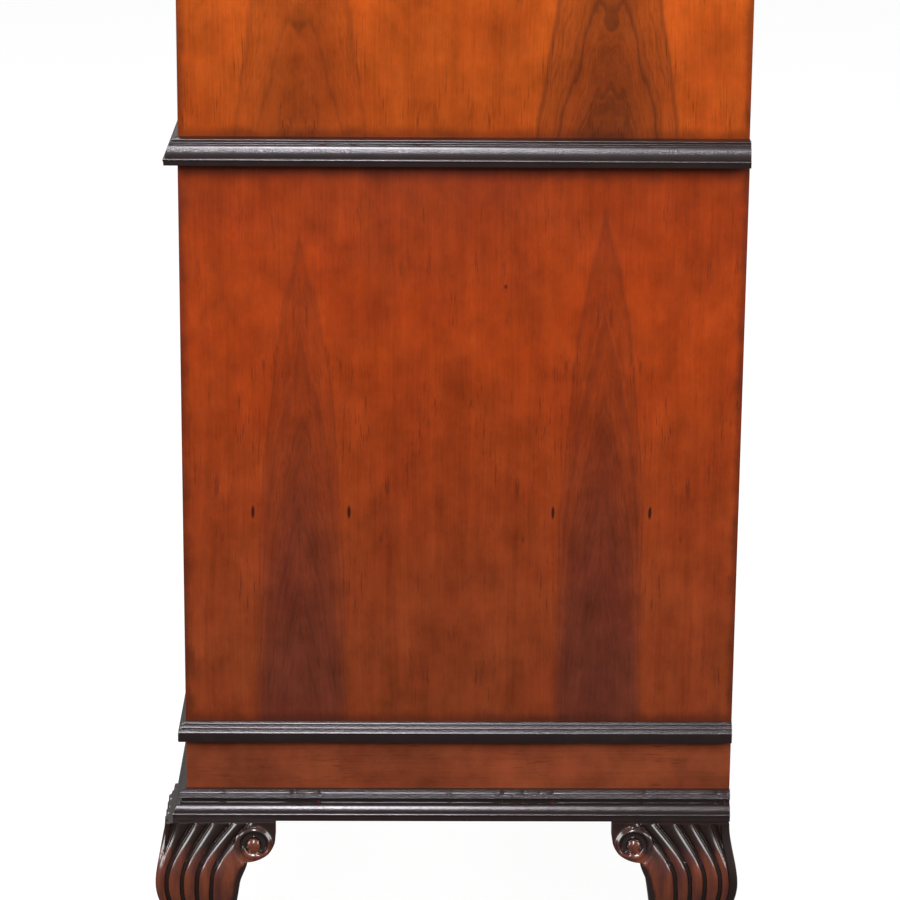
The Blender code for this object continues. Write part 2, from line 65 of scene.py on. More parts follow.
class Graph:
    """Short forms for the nodes of one procedural material."""

    def __init__(self, name):
        self.material = bpy.data.materials.new(name)
        self.material.use_nodes = True
        self.tree = self.material.node_tree
        self.shader = self.tree.nodes["Principled BSDF"]
        self.coordinates = self.tree.nodes.new("ShaderNodeTexCoord").outputs["Object"]
        split = self.tree.nodes.new("ShaderNodeSeparateXYZ")
        self.tree.links.new(self.coordinates, split.inputs[0])
        self.x, self.y, self.z = split.outputs

    def feed(self, socket, value):
        if isinstance(value, bpy.types.NodeSocket):
            self.tree.links.new(value, socket)
        else:
            socket.default_value = value

    def math(self, operation, a, b=0.0, c=0.0):
        node = self.tree.nodes.new("ShaderNodeMath")
        node.operation = operation
        for socket, value in zip(node.inputs, (a, b, c)):
            self.feed(socket, value)
        return node.outputs[0]

    def add(self, a, b):
        return self.math("ADD", a, b)

    def sub(self, a, b):
        return self.math("SUBTRACT", a, b)

    def mul(self, a, b):
        return self.math("MULTIPLY", a, b)

    def total(self, start, *terms):
        """Adds (value, weight) terms to a start, one after another."""
        for value, weight in terms:
            start = self.add(start, self.mul(value, weight))
        return start

    def centred(self, value, size):
        """A 0 to 1 value moved to lie round zero and scaled."""
        return self.mul(self.sub(value, 0.5), size)

    def grain(self, axis):
        """Across and along the grain of straight wood whose grain runs on this axis."""
        x, y, z = self.x, self.y, self.z
        return {"x": (self.add(y, z), x), "y": (self.add(x, z), y), "z": (self.add(x, y), z)}[axis]

    def cloud(self, factors, **settings):
        """Noise in the object's own coordinates."""
        return self.noise(self.coordinates, factors, **settings)

    def vector(self, x, y, z):
        node = self.tree.nodes.new("ShaderNodeCombineXYZ")
        for socket, value in zip(node.inputs, (x, y, z)):
            self.feed(socket, value)
        return node.outputs[0]

    def scaled(self, vector, factors):
        node = self.tree.nodes.new("ShaderNodeVectorMath")
        node.operation = "MULTIPLY"
        self.feed(node.inputs[0], vector)
        node.inputs[1].default_value = factors
        return node.outputs[0]

    def noise(self, vector, factors, detail=3.0, roughness=0.55, distortion=0.0):
        node = self.tree.nodes.new("ShaderNodeTexNoise")
        self.feed(node.inputs["Vector"], self.scaled(vector, factors))
        node.inputs["Scale"].default_value = 1.0
        node.inputs["Detail"].default_value = detail
        node.inputs["Roughness"].default_value = roughness
        node.inputs["Distortion"].default_value = distortion
        return node.outputs["Fac"]

    def smooth(self, value, low, high, start=0.0, end=1.0):
        node = self.tree.nodes.new("ShaderNodeMapRange")
        node.interpolation_type = "SMOOTHSTEP"
        for socket, item in zip(node.inputs, (value, low, high, start, end)):
            self.feed(socket, item)
        return node.outputs[0]

    def mix(self, factor, a, b, blend="MIX"):
        node = self.tree.nodes.new("ShaderNodeMix")
        node.data_type = "RGBA"
        node.blend_type = blend
        self.feed(node.inputs[0], factor)
        self.feed(node.inputs[6], a)
        self.feed(node.inputs[7], b)
        return node.outputs[2]

    def shade(self, colour, factor):
        """Multiplies a colour by a number."""
        grey = self.tree.nodes.new("ShaderNodeCombineColor")
        for socket in grey.inputs:
            self.feed(socket, factor)
        return self.mix(1.0, colour, grey.outputs[0], "MULTIPLY")

    def attribute(self, name):
        node = self.tree.nodes.new("ShaderNodeAttribute")
        node.attribute_name = name
        return node.outputs["Fac"]

    def bump(self, height, distance, strength=1.0):
        node = self.tree.nodes.new("ShaderNodeBump")
        node.inputs["Strength"].default_value = strength
        node.inputs["Distance"].default_value = distance
        self.feed(node.inputs["Height"], height)
        self.tree.links.new(node.outputs[0], self.shader.inputs["Normal"])

    def grain_bump(self, fibres, pores, distance):
        self.bump(self.add(self.mul(fibres, 0.3), pores), distance, 0.5)

    def finish(self, colour, roughness, specular=0.5, coat=0.0, coat_roughness=0.1, metallic=0.0):
        inputs = self.shader.inputs
        self.feed(inputs["Base Color"], colour)
        self.feed(inputs["Roughness"], roughness)
        inputs["Specular IOR Level"].default_value = specular
        inputs["Coat Weight"].default_value = coat
        inputs["Coat Roughness"].default_value = coat_roughness
        inputs["Metallic"].default_value = metallic
        return self.material


# ---- materials ---------------------------------------------------------

def grain_marks(g, across, along, depth_seed=0.0):
    """Fibres, pores and slow mottle of polished wood, across and along its grain."""
    plane = g.vector(across, depth_seed, along)
    fibres = g.noise(plane, (620, 1, 11), detail=4.0, roughness=0.6)
    pores = g.noise(plane, (1500, 1, 60), detail=2.0)
    streaks = g.noise(plane, (95, 1, 2.2), detail=3.0, distortion=0.4)
    mottle = g.noise(plane, (24, 1, 13), detail=3.0, roughness=0.6)
    return fibres, pores, streaks, mottle


def veneer_tone(g, across, along, heart, light, dark, seed):
    """Polished veneer colour: light sapwood to dark heartwood with grain over it."""
    fibres, pores, streaks, mottle = grain_marks(g, across, along, seed)
    tone = g.mix(heart, light, dark)
    cloud = g.cloud((38, 38, 30), detail=5.0, roughness=0.65)
    factor = g.add(0.02, g.centred(fibres, 0.40))
    tone = g.shade(tone, g.total(factor, (streaks, 0.36), (mottle, 0.62), (cloud, 0.92)))
    blush = g.smooth(g.cloud((15, 15, 15), detail=3.0), 0.42, 0.64)
    tone = g.mix(g.mul(blush, 0.26), tone, g.mix(1.0, tone, (0.92, 0.66, 0.75, 1), "MULTIPLY"))
    plane = g.vector(across, seed, along)
    patches = g.smooth(g.noise(plane, (52, 1, 20), detail=3.0), 0.50, 0.66)
    flecks = g.noise(plane, (760, 1, 44), detail=2.0)
    fleck_mark = g.mul(g.smooth(flecks, 0.57, 0.66, 0.0, 0.42), g.add(0.15, patches))
    pore_mark = g.smooth(pores, 0.60, 0.72, 0.0, 0.24)
    return g.mix(g.math("MAXIMUM", pore_mark, fleck_mark), tone, (0.05, 0.011, 0.006, 1)), fibres, pores


def spear_fall(g, across):
    """How far below its point a spear-shaped heart is as wide as this."""
    share = g.math("MAXIMUM", g.sub(1.0, g.mul(across, 1 / 0.042)), 0.02)
    return g.mul(g.math("POWER", g.mul(g.math("LOGARITHM", share, math.e), -1.0), 0.91), 0.140)


def arch_fall(g, across):
    """The same for a wide round-headed arch."""
    return g.mul(g.mul(across, across), 1 / 0.0175)


def heart_knot(g, across, rear, height):
    """A small dark burr where the leaves meet."""
    away = g.mul(g.sub(g.z, height), 1 / 0.0085)
    side = g.mul(across, 1 / 0.0065)
    spread = g.add(g.mul(away, away), g.mul(side, side))
    return g.mul(g.smooth(spread, 0.1, 1.7, 0.9, 0.0), g.add(0.25, g.mul(rear, 0.75)))


def side_veneer(name, fall, apexes, knot_height, heart_share, light, dark, high_tone, low_tone, face):
    """Four leaves, book-matched on the depth of the case, each pair round a dark heart.

    fall: shape of the heart; apexes: heights of its outer and inner points;
    heart_share: strength of the front and the rear heart; light, dark: sapwood and
    heartwood; high_tone, low_tone: what both are multiplied by high up and low down,
    low_tone painting shade and a pale haze of reflection low on the face;
    face: heights of the face's lower and upper edge.
    """
    low, high = face
    g = Graph(name)
    depth = g.sub(g.y, FRONT_Y)
    leaf = 0.137                   # width of one leaf of veneer
    front_heart = 0.108            # from the front edge to the first join
    slit_share = 0.386             # height of the slits as a share of the face
    rear = g.smooth(depth, 0.20, 0.29)
    sway = g.cloud((0, 9, 4.3), detail=3.0)
    offset = g.add(g.sub(depth, front_heart), g.centred(sway, 0.014))
    across = g.math("PINGPONG", offset, leaf)
    matched = g.vector(across, 0.0, g.z)
    wander = g.noise(matched, (26, 1, 7), detail=4.0, roughness=0.6)
    jitter = g.noise(matched, (210, 1, 16), detail=3.0)
    level = g.add(g.z, fall(g, across))
    level = g.add(level, g.centred(wander, 0.110))
    level = g.add(level, g.centred(jitter, 0.020))
    level = g.sub(level, g.mul(rear, 0.024))
    outer = g.sub(apexes[0], level)
    inner = g.sub(apexes[1], level)
    heart = g.add(g.smooth(outer, -0.004, 0.012, 0.0, 0.34), g.smooth(inner, -0.02, 0.16, 0.0, 0.60))
    rings = g.noise(g.vector(0.0, 0.0, level), (1, 1, 62), detail=3.0, roughness=0.7)
    inside = g.smooth(outer, -0.01, 0.03)
    heart = g.add(heart, g.mul(inside, g.smooth(rings, 0.42, 0.70, -0.10, 0.34)))
    for apex, thickness, strength in zip(apexes, (0.010, 0.013), (0.46, 0.40)):
        line = g.mul(g.sub(level, apex), 1 / thickness)
        outline = g.math("POWER", math.e, g.mul(g.mul(line, line), -1.0))
        heart = g.add(heart, g.mul(outline, strength))
    heart = g.mul(heart, g.add(heart_share[0], g.mul(rear, heart_share[1] - heart_share[0])))
    heart = g.add(heart, heart_knot(g, across, rear, knot_height))
    tone, fibres, pores = veneer_tone(g, across, g.z, heart, light, dark, 0.37)
    # painted shade and painted haze of reflection: the face grows darker and hazier towards the bottom
    lift = g.smooth(g.z, low, min(high - 0.05, low + 0.40))
    tone = g.mix(1.0, tone, g.mix(lift, low_tone, high_tone), "MULTIPLY")
    # painted light: the face is made brighter towards the back
    painted_back_light = g.smooth(depth, 0.36, 0.47, 0.0, 0.13)
    belt = g.math("SINE", g.mul(g.sub(depth, 0.02), 23.0))
    tone = g.shade(tone, g.add(g.add(1.0, painted_back_light), g.mul(belt, 0.045)))
    # painted shade: darker just below the moulding that overhangs the face
    tone = g.shade(tone, g.smooth(g.z, high - 0.10, high - 0.01, 1.0, 0.84))
    tone = dirt_spots(g, tone, depth)
    tone = screw_slits(g, tone, across, low + slit_share * (high - low))
    # painted shade and darkened polish along the face's edges
    tone = edge_shading(g, tone, depth, low, high)
    g.grain_bump(fibres, pores, 0.00006)
    roughness = g.smooth(g.cloud((0, 26, 26)), 0.3, 0.7, 0.34, 0.44)
    return g.finish(tone, roughness, specular=0.12, coat=0.03, coat_roughness=0.16)


def dirt_spots(g, tone, depth):
    """Scattered small dark marks in the polish."""
    cells = g.tree.nodes.new("ShaderNodeTexVoronoi")
    cells.inputs["Scale"].default_value = 15.0
    g.feed(cells.inputs["Vector"], g.vector(0.0, depth, g.mul(g.z, 0.7)))
    few = g.smooth(g.cloud((0, 11, 11)), 0.50, 0.58)
    spot = g.smooth(cells.outputs["Distance"], 0.012, 0.030, 0.75, 0.0)
    return g.mix(g.mul(spot, few), tone, (0.035, 0.010, 0.007, 1))


def screw_slits(g, tone, across, height):
    """Four upright filled slits, a pair to each heart, at one height."""
    offset = 0.0438                # from the leaves' join
    half_width = 1.4 * MM
    half_length = 5.4 * MM
    side = g.mul(g.sub(across, offset), 1 / half_width)
    along = g.mul(g.sub(g.z, height), 1 / half_length)
    reach = g.add(g.mul(side, side), g.mul(along, along))
    return g.mix(g.smooth(reach, 0.45, 1.9, 0.86, 0.0), tone, (0.016, 0.006, 0.005, 1))


def edge_shading(g, tone, depth, low, high):
    """Darkening along the face's edges and in its corners: partly old polish that has darkened, partly
    painted shade beside and under the mouldings.
    """
    wobble = g.mul(g.sub(g.cloud((0, 40, 40), detail=3.0), 0.5), 0.014)
    total = BACK_Y - FRONT_Y
    near_front = g.smooth(g.add(depth, wobble), 0.0, 0.010, 0.55, 0.0)
    near_back = g.smooth(g.add(depth, wobble), total - 0.010, total, 0.0, 0.55)
    near_top = g.smooth(g.add(g.z, wobble), high - 0.018, high, 0.0, 0.60)
    near_foot = g.smooth(g.add(g.z, wobble), low, low + 0.012, 0.50, 0.0)
    sides = g.math("MAXIMUM", near_front, near_back)
    ends = g.math("MAXIMUM", near_top, near_foot)
    # painted shade and darkened polish: the edges are mixed towards dark brown
    return g.mix(g.math("MAXIMUM", sides, ends), tone, (0.045, 0.012, 0.008, 1))


def plinth_veneer():
    """Redder veneer with its grain running along the plinth."""
    g = Graph("plinth_red_veneer")
    along = g.add(g.x, g.y)
    light = (0.320, 0.070, 0.024, 1)
    dark = (0.19, 0.046, 0.021, 1)
    tone, _, pores = veneer_tone(g, g.z, along, 0.35, light, dark, 0.8)
    patch = g.noise(g.vector(along, 0, g.z), (7, 1, 14), detail=2.0)
    tone = g.shade(tone, g.smooth(patch, 0.3, 0.7, 0.72, 1.05))
    g.bump(pores, 0.00006, 0.5)
    return g.finish(tone, 0.40, specular=0.14, coat=0.04, coat_roughness=0.2)


def drawer_veneer(name, light, dark):
    """Figured veneer of the drawer fronts, book-matched on the chest's width."""
    g = Graph(name)
    leaf = 0.223
    sway = g.cloud((5, 0, 6), detail=2.0)
    across = g.math("PINGPONG", g.add(g.x, g.centred(sway, 0.02)), leaf)
    swirl = g.noise(g.vector(across, 0.0, g.z), (9, 1, 7), detail=5.0, roughness=0.62, distortion=1.2)
    flame = g.math("SINE", g.mul(g.add(swirl, g.mul(across, 2.0)), 26.0))
    heart = g.smooth(swirl, 0.36, 0.66, 0.0, 0.85)
    tone, fibres, pores = veneer_tone(g, across, g.z, heart, light, dark, 0.11)
    tone = g.shade(tone, g.add(1.0, g.mul(flame, 0.07)))
    g.grain_bump(fibres, pores, 0.00007)
    return g.finish(tone, 0.36, specular=0.25, coat=0.12, coat_roughness=0.15)


def straight_veneer(name, axis, light, dark, roughness=0.38, specular=0.25, coat=0.10):
    """Straight-grained polished wood; axis is the direction of the grain."""
    g = Graph(name)
    across, along = g.grain(axis)
    band = g.noise(g.vector(across, 0, along), (30, 1, 4), detail=3.0)
    tone, fibres, pores = veneer_tone(g, across, along, g.smooth(band, 0.35, 0.65), light, dark, 0.5)
    g.grain_bump(fibres, pores, 0.00007)
    return g.finish(tone, roughness, specular=specular, coat=coat, coat_roughness=0.18)


def raw_wood(name, axis, light, dark, roughness):
    """Unpolished secondary wood."""
    g = Graph(name)
    across, along = g.grain(axis)
    plane = g.vector(across, 0.2, along)
    rings = g.noise(plane, (55, 1, 1.6), detail=4.0, distortion=0.6)
    fibres = g.noise(plane, (700, 1, 18), detail=3.0)
    tone = g.mix(g.smooth(rings, 0.35, 0.68), light, dark)
    tone = g.shade(tone, g.add(0.80, g.mul(fibres, 0.36)))
    grime = g.cloud((9, 9, 9), detail=4.0)
    tone = g.shade(tone, g.smooth(grime, 0.25, 0.7, 0.80, 1.04))
    g.bump(fibres, 0.00015, 0.6)
    return g.finish(tone, roughness, specular=0.3)


def dark_polish():
    """Nearly black moulding polish; red-brown where the wear attribute is high, pitted where it slopes."""
    g = Graph("dark_polish")
    wear = g.attribute("wear")
    clouds = g.cloud((60, 60, 60), detail=4.0)
    body = g.mix(clouds, (0.010, 0.0055, 0.0050, 1), (0.030, 0.014, 0.012, 1))
    scuff = g.cloud((260, 260, 260), detail=3.0)
    rubbed = g.smooth(g.add(wear, g.centred(scuff, 0.9)), 0.62, 1.05)
    tone = g.mix(g.mul(rubbed, 0.85), body, (0.26, 0.060, 0.030, 1))
    fine = g.cloud((900, 900, 900), detail=2.0)
    facing = g.tree.nodes.new("ShaderNodeNewGeometry")
    split = g.tree.nodes.new("ShaderNodeSeparateXYZ")
    g.tree.links.new(facing.outputs["Normal"], split.inputs[0])
    upward = split.outputs[2]
    tilted = g.smooth(upward, 0.22, 0.30)
    ledge = g.mul(tilted, g.smooth(upward, 0.42, 0.50, 1.0, 0.0))
    pits = g.smooth(g.cloud((520, 520, 520), detail=3.0), 0.36, 0.62)
    relief = g.add(g.mul(scuff, 0.00003), g.mul(fine, 0.000012))
    g.bump(g.add(relief, g.mul(g.mul(ledge, pits), 0.00030)), 1.0, 0.35)
    roughness = g.smooth(scuff, 0.3, 0.7, 0.17, 0.25)
    g.shader.inputs["Specular Tint"].default_value = (0.95, 0.91, 1.0, 1)
    return g.finish(tone, roughness, specular=0.8, coat=0.45, coat_roughness=0.36)


def carved_polish():
    """Red-brown polish of the legs, nearly black where the groove attribute is high: dark wax and dark
    paint there, together with painted shade.
    """
    g = Graph("carved_polish")
    groove = g.attribute("groove")
    along = g.cloud((70, 70, 14), detail=4.0)
    tone = g.mix(g.smooth(along, 0.32, 0.66), (0.085, 0.020, 0.015, 1), (0.200, 0.047, 0.018, 1))
    fibres = g.cloud((420, 420, 30), detail=3.0)
    tone = g.shade(tone, g.add(0.76, g.mul(fibres, 0.44)))
    patch = g.cloud((95, 95, 60), detail=3.0)
    # painted shade over dark wax and paint: the groove attribute mixes the polish towards near-black
    shade = g.smooth(g.add(groove, g.centred(patch, 0.7)), 0.22, 0.84)
    tone = g.mix(g.mul(shade, 0.93), tone, (0.010, 0.006, 0.005, 1))
    g.bump(fibres, 0.00010, 0.5)
    return g.finish(tone, 0.20, specular=0.8, coat=0.45, coat_roughness=0.10)


def aged_brass():
    g = Graph("aged_brass_metal")
    clouds = g.cloud((110, 110, 110), detail=4.0)
    pits = g.cloud((900, 900, 900), detail=2.0)
    tone = g.mix(g.smooth(clouds, 0.34, 0.68), (0.62, 0.42, 0.16, 1), (0.30, 0.18, 0.065, 1))
    tone = g.mix(g.smooth(g.attribute("groove"), 0.2, 0.9, 0.0, 0.8), tone, (0.05, 0.032, 0.018, 1))
    g.bump(g.add(g.mul(clouds, 0.5), g.mul(pits, 0.5)), 0.00010, 0.4)
    roughness = g.smooth(clouds, 0.3, 0.7, 0.24, 0.42)
    return g.finish(tone, roughness, metallic=1.0)


def keyhole_dark():
    """Painted shade standing in for the dark hollow of a keyhole."""
    g = Graph("keyhole_dark")
    spots = g.cloud((120, 120, 60), detail=4.0)
    tone = g.shade((0.012, 0.009, 0.007, 1), g.add(0.6, g.mul(spots, 0.8)))
    g.bump(spots, 0.0003, 0.5)
    return g.finish(tone, 0.6, specular=0.3)


BAND = ((0.36, 0.070, 0.012, 1), (0.20, 0.036, 0.010, 1))      # colours, light and dark
OAK = ((0.50, 0.33, 0.17, 1), (0.38, 0.23, 0.11, 1))
LOWER_FACE = (CAP_HIGH.z, WAIST_LOW.z)
UPPER_FACE = (WAIST_HIGH.z, CORNICE_LOW.z)
MATERIAL = {
    "lower_side": side_veneer("lower_side_veneer", spear_fall, (0.748, 0.655), 0.0, (0.92, 1.0),
                              (0.352, 0.0452, 0.0062, 1), (0.188, 0.0290, 0.0078, 1),
                              (1.0, 1.0, 0.9, 1), (0.84, 1.24, 2.6, 1), LOWER_FACE),
    "upper_side": side_veneer("upper_side_veneer", arch_fall, (1.053, 0.935), 0.947, (0.70, 1.25),
                              (0.700, 0.1300, 0.0118, 1), (0.290, 0.0640, 0.0118, 1),
                              (1.0, 1.0, 1.0, 1), (0.70, 0.64, 0.90, 1), UPPER_FACE),
    "plinth": plinth_veneer(),
    "drawer": drawer_veneer("drawer_front_veneer", (0.500, 0.105, 0.012, 1), (0.170, 0.032, 0.010, 1)),
    "crossband_z": straight_veneer("crossband_upright", "z", *BAND),
    "crossband_x": straight_veneer("crossband_level", "x", *BAND),
    "stringing": straight_veneer("stringing_line", "x", (0.62, 0.36, 0.12, 1), (0.50, 0.27, 0.09, 1)),
    "top": straight_veneer("top_veneer", "x", (0.40, 0.082, 0.014, 1), (0.17, 0.032, 0.011, 1),
                           0.46, 0.10, 0.0),
    "polish": dark_polish(),
    "carved": carved_polish(),
    "case_x": raw_wood("case_wood_level", "x", (0.36, 0.20, 0.095, 1), (0.26, 0.13, 0.060, 1), 0.62),
    "oak_y": raw_wood("drawer_side_wood", "y", *OAK, 0.58),
    "oak_x": raw_wood("drawer_cross_wood", "x", *OAK, 0.58),
    "back": raw_wood("back_wood", "z", (0.26, 0.150, 0.080, 1), (0.17, 0.092, 0.050, 1), 0.75),
    "brass": aged_brass(),
    "hollow": keyhole_dark(),
}


# ---- mesh tools --------------------------------------------------------

def add_piece(name, shape, materials, body, stands_for=(), angle=35.0):
    """Turns a bmesh into a piece that rides on a body."""
    bmesh.ops.recalc_face_normals(shape, faces=shape.faces)
    if shape.calc_volume(signed=True) < 0:
        bmesh.ops.reverse_faces(shape, faces=shape.faces)
    mesh = bpy.data.meshes.new(name)
    shape.to_mesh(mesh)
    shape.free()
    for key in materials if isinstance(materials, (list, tuple)) else [materials]:
        mesh.materials.append(MATERIAL[key])
    mesh.shade_smooth()
    mesh.set_sharp_from_angle(angle=math.radians(angle))
    piece = bpy.data.objects.new(name, mesh)
    bpy.context.scene.collection.objects.link(piece)
    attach(piece, body)
    if stands_for:
        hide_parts(*stands_for)
    return piece


def box_shape(low, high, rounding=0.0, segments=2):
    """A box with all its edges rounded."""
    shape = bmesh.new()
    bmesh.ops.create_cube(shape, size=1.0)
    for vertex in shape.verts:
        vertex.co = Vector([low[i] if vertex.co[i] < 0 else high[i] for i in range(3)])
    if rounding:
        bmesh.ops.bevel(shape, geom=list(shape.edges), offset=rounding, segments=segments,
                        profile=0.5, affect="EDGES", clamp_overlap=True)
    return shape


def loft(rings, closed=False, marks=None, mark_name="wear"):
    """Joins rings of points; the ends are capped unless the loft closes on itself."""
    shape = bmesh.new()
    layer = shape.verts.layers.float.new(mark_name)
    loops = []
    for k, ring in enumerate(rings):
        loop = [shape.verts.new(point) for point in ring]
        if marks:
            for vertex, mark in zip(loop, marks[k]):
                vertex[layer] = mark
        loops.append(loop)
    count = len(loops[0])
    pairs = list(zip(loops, loops[1:]))
    if closed:
        pairs.append((loops[-1], loops[0]))
    for first, second in pairs:
        for i in range(count):
            j = (i + 1) % count
            shape.faces.new((first[i], first[j], second[j], second[i]))
    if not closed:
        shape.faces.new(list(reversed(loops[0])))
        shape.faces.new(loops[-1])
    return shape


def smooth_between(keys, height):
    """A value that passes smoothly through (height, value) keys, level at its turning points."""
    slopes = []
    for i, (_, value) in enumerate(keys):
        before = keys[max(i - 1, 0)]
        after = keys[min(i + 1, len(keys) - 1)]
        turns = (value - before[1]) * (after[1] - value) <= 0
        slopes.append(0.0 if turns else (after[1] - before[1]) / (after[0] - before[0]))
    for i in range(len(keys) - 1):
        z0, v0 = keys[i]
        z1, v1 = keys[i + 1]
        if height <= z1 or i == len(keys) - 2:
            span = z1 - z0
            t = min(max((height - z0) / span, 0.0), 1.0)
            rise = t * t * (3 - 2 * t)
            start = span * slopes[i] * t * (1 - t) ** 2
            end = span * slopes[i + 1] * t * t * (t - 1)
            return v0 + (v1 - v0) * rise + start + end


def step(value, low, high):
    """Rises smoothly from 0 at low to 1 at high; low may be the larger."""
    t = min(max((value - low) / (high - low), 0.0), 1.0)
    return t * t * (3 - 2 * t)


# ---- boards ------------------------------------------------------------

def make_board(node, material, rounding=0.0008):
    """A CAD board again, with softened edges."""
    low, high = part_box(node)
    add_piece(node + "_board", box_shape(low, high, rounding), material, "root",
              [node])


def make_boards():
    for side in ("left", "right"):
        make_board("lower_side_" + side, "lower_side", 0.0010)
        make_board("upper_side_" + side, "upper_side", 0.0010)
    for case in ("upper", "lower"):
        make_back(case + "_back_panel")
        for number in (1, 2):
            make_board(case + "_dust_board_" + str(number), "case_x")
        make_board(case + "_bottom_board", "case_x")
    make_board("lower_top_board", "case_x")
    make_board("upper_top_rail", "crossband_x", 0.0008)


def make_back(node):
    """The back as upright planks of unequal widths, with narrow open joints."""
    low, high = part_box(node)
    rng = random.Random(31 if node.startswith("upper") else 32)
    planks = 7
    joint = 0.0020
    rounding = 0.0020
    widths = [rng.uniform(0.8, 1.2) for _ in range(planks)]
    left = low.x
    for number, width in enumerate(widths):
        right = left + (high.x - low.x) * width / sum(widths)
        end = right if number == planks - 1 else right - joint
        shape = box_shape((left, low.y, low.z), (end, high.y, high.z), rounding)
        add_piece(node + "_plank_" + str(number + 1), shape, "back", "root",
                  [] if number else [node])
        left = right


def make_rail_facings():
    """Polished strips on the front edges of the boards between the drawers."""
    thickness = 0.0006
    boards = [case + "_dust_board_" + str(i) for case in ("upper", "lower") for i in (1, 2)]
    boards += ["upper_bottom_board", "lower_bottom_board", "lower_top_board"]
    for node in boards:
        low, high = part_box(node)
        start = Vector((low.x, low.y - thickness, low.z))
        end = Vector((high.x, low.y, high.z))
        add_piece(node + "_facing", box_shape(start, end, 0.0002, 1), "crossband_z", "root")


def make_plinth():
    """The plinth's four walls, mitred at the corners."""
    low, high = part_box("plinth_frame")
    wall = 0.022
    profile = [(0.0, low.z), (0.0, high.z), (-wall, high.z), (-wall, low.z)]
    rings = []
    for sx, sy in ((1, -1), (1, 1), (-1, 1), (-1, -1)):
        ring = []
        for reach, z in profile:
            x = sx * (high.x + reach)
            y = (high.y + reach) if sy > 0 else (low.y - reach)
            ring.append((x, y, z))
        rings.append(ring)
    shape = loft(rings, closed=True)
    edges = [e for e in shape.edges if abs(e.verts[0].co.z - e.verts[1].co.z) > 0.01]
    bmesh.ops.bevel(shape, geom=edges, offset=0.001, segments=2, profile=0.5, affect="EDGES")
    add_piece("plinth_walls", shape, "plinth", "root", ["plinth_frame"])


def make_top():
    """Top board with a thumb-moulded edge at the front and sides."""
    low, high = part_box("top_board")
    square = 0.0050                # upright part of the edge, below the thumb
    thumb = 0.0100                 # how far the thumb runs in
    lip = 0.0007                   # the top's flat stands this much above the thumb
    rise = high.z - low.z - square - lip
    profile = [(0.0, low.z)]
    profile += [(-0.001, low.z + 0.0004), (0.0, low.z + 0.0016), (0.0, low.z + square)]
    for i in range(9):
        angle = math.radians(90 * i / 8)
        profile.append((-thumb + thumb * math.cos(angle), low.z + square + rise * math.sin(angle)))
    profile.append((-0.0125, high.z - lip))
    profile.append((-0.0132, high.z))
    rings = []
    for reach, z in profile:
        front = low.y - reach
        ring = [(low.x - reach, high.y, z), (low.x - reach, front, z)]
        ring += [(high.x + reach, front, z), (high.x + reach, high.y, z)]
        rings.append(ring)
    add_piece("top_board_moulded", loft(rings), "top", "root", ["top_board"])


# ---- mouldings ---------------------------------------------------------

CLEARANCE = 0.0003                      # from a moulding's back to the board behind it


def arc(centre, radius, start, turn, steps):
    """Points of an arc, angles in degrees; radius is (along reach, along height)."""
    points = []
    for i in range(steps + 1):
        angle = math.radians(start + turn * i / steps)
        x = centre[0] + radius[0] * math.cos(angle)
        points.append((x, centre[1] + radius[1] * math.sin(angle)))
    return points


def soften(outline, radius):
    """Rounds the outward corners of a closed outline; returns points and how exposed each is."""
    points = []
    exposed = []
    count = len(outline)
    for i, (x, y) in enumerate(outline):
        back = Vector(outline[i - 1]) - Vector((x, y))
        ahead = Vector(outline[(i + 1) % count]) - Vector((x, y))
        turn = back.normalized().cross(ahead.normalized()) if back.length and ahead.length else 0.0
        corner = turn > 0.30 and x > 0.002
        if not corner:
            points.append((x, y))
            exposed.append(0.0)
            continue
        cut = min(radius, back.length * 0.45, ahead.length * 0.45)
        first = Vector((x, y)) + back.normalized() * cut
        last = Vector((x, y)) + ahead.normalized() * cut
        middle = (first + last) * 0.25 + Vector((x, y)) * 0.5
        for point, value in ((first, 0.6), (middle, 1.0), (last, 0.6)):
            points.append((point.x, point.y))
            exposed.append(value)
    return points, exposed


def make_nicks(length, count, seed):
    """Places, widths and depths of the dents along a moulding's edges."""
    rng = random.Random(seed)
    return [(rng.uniform(0, length), rng.uniform(0.5, 1.5) * MM, rng.uniform(0.15, 0.60) * MM)
            for _ in range(count)]


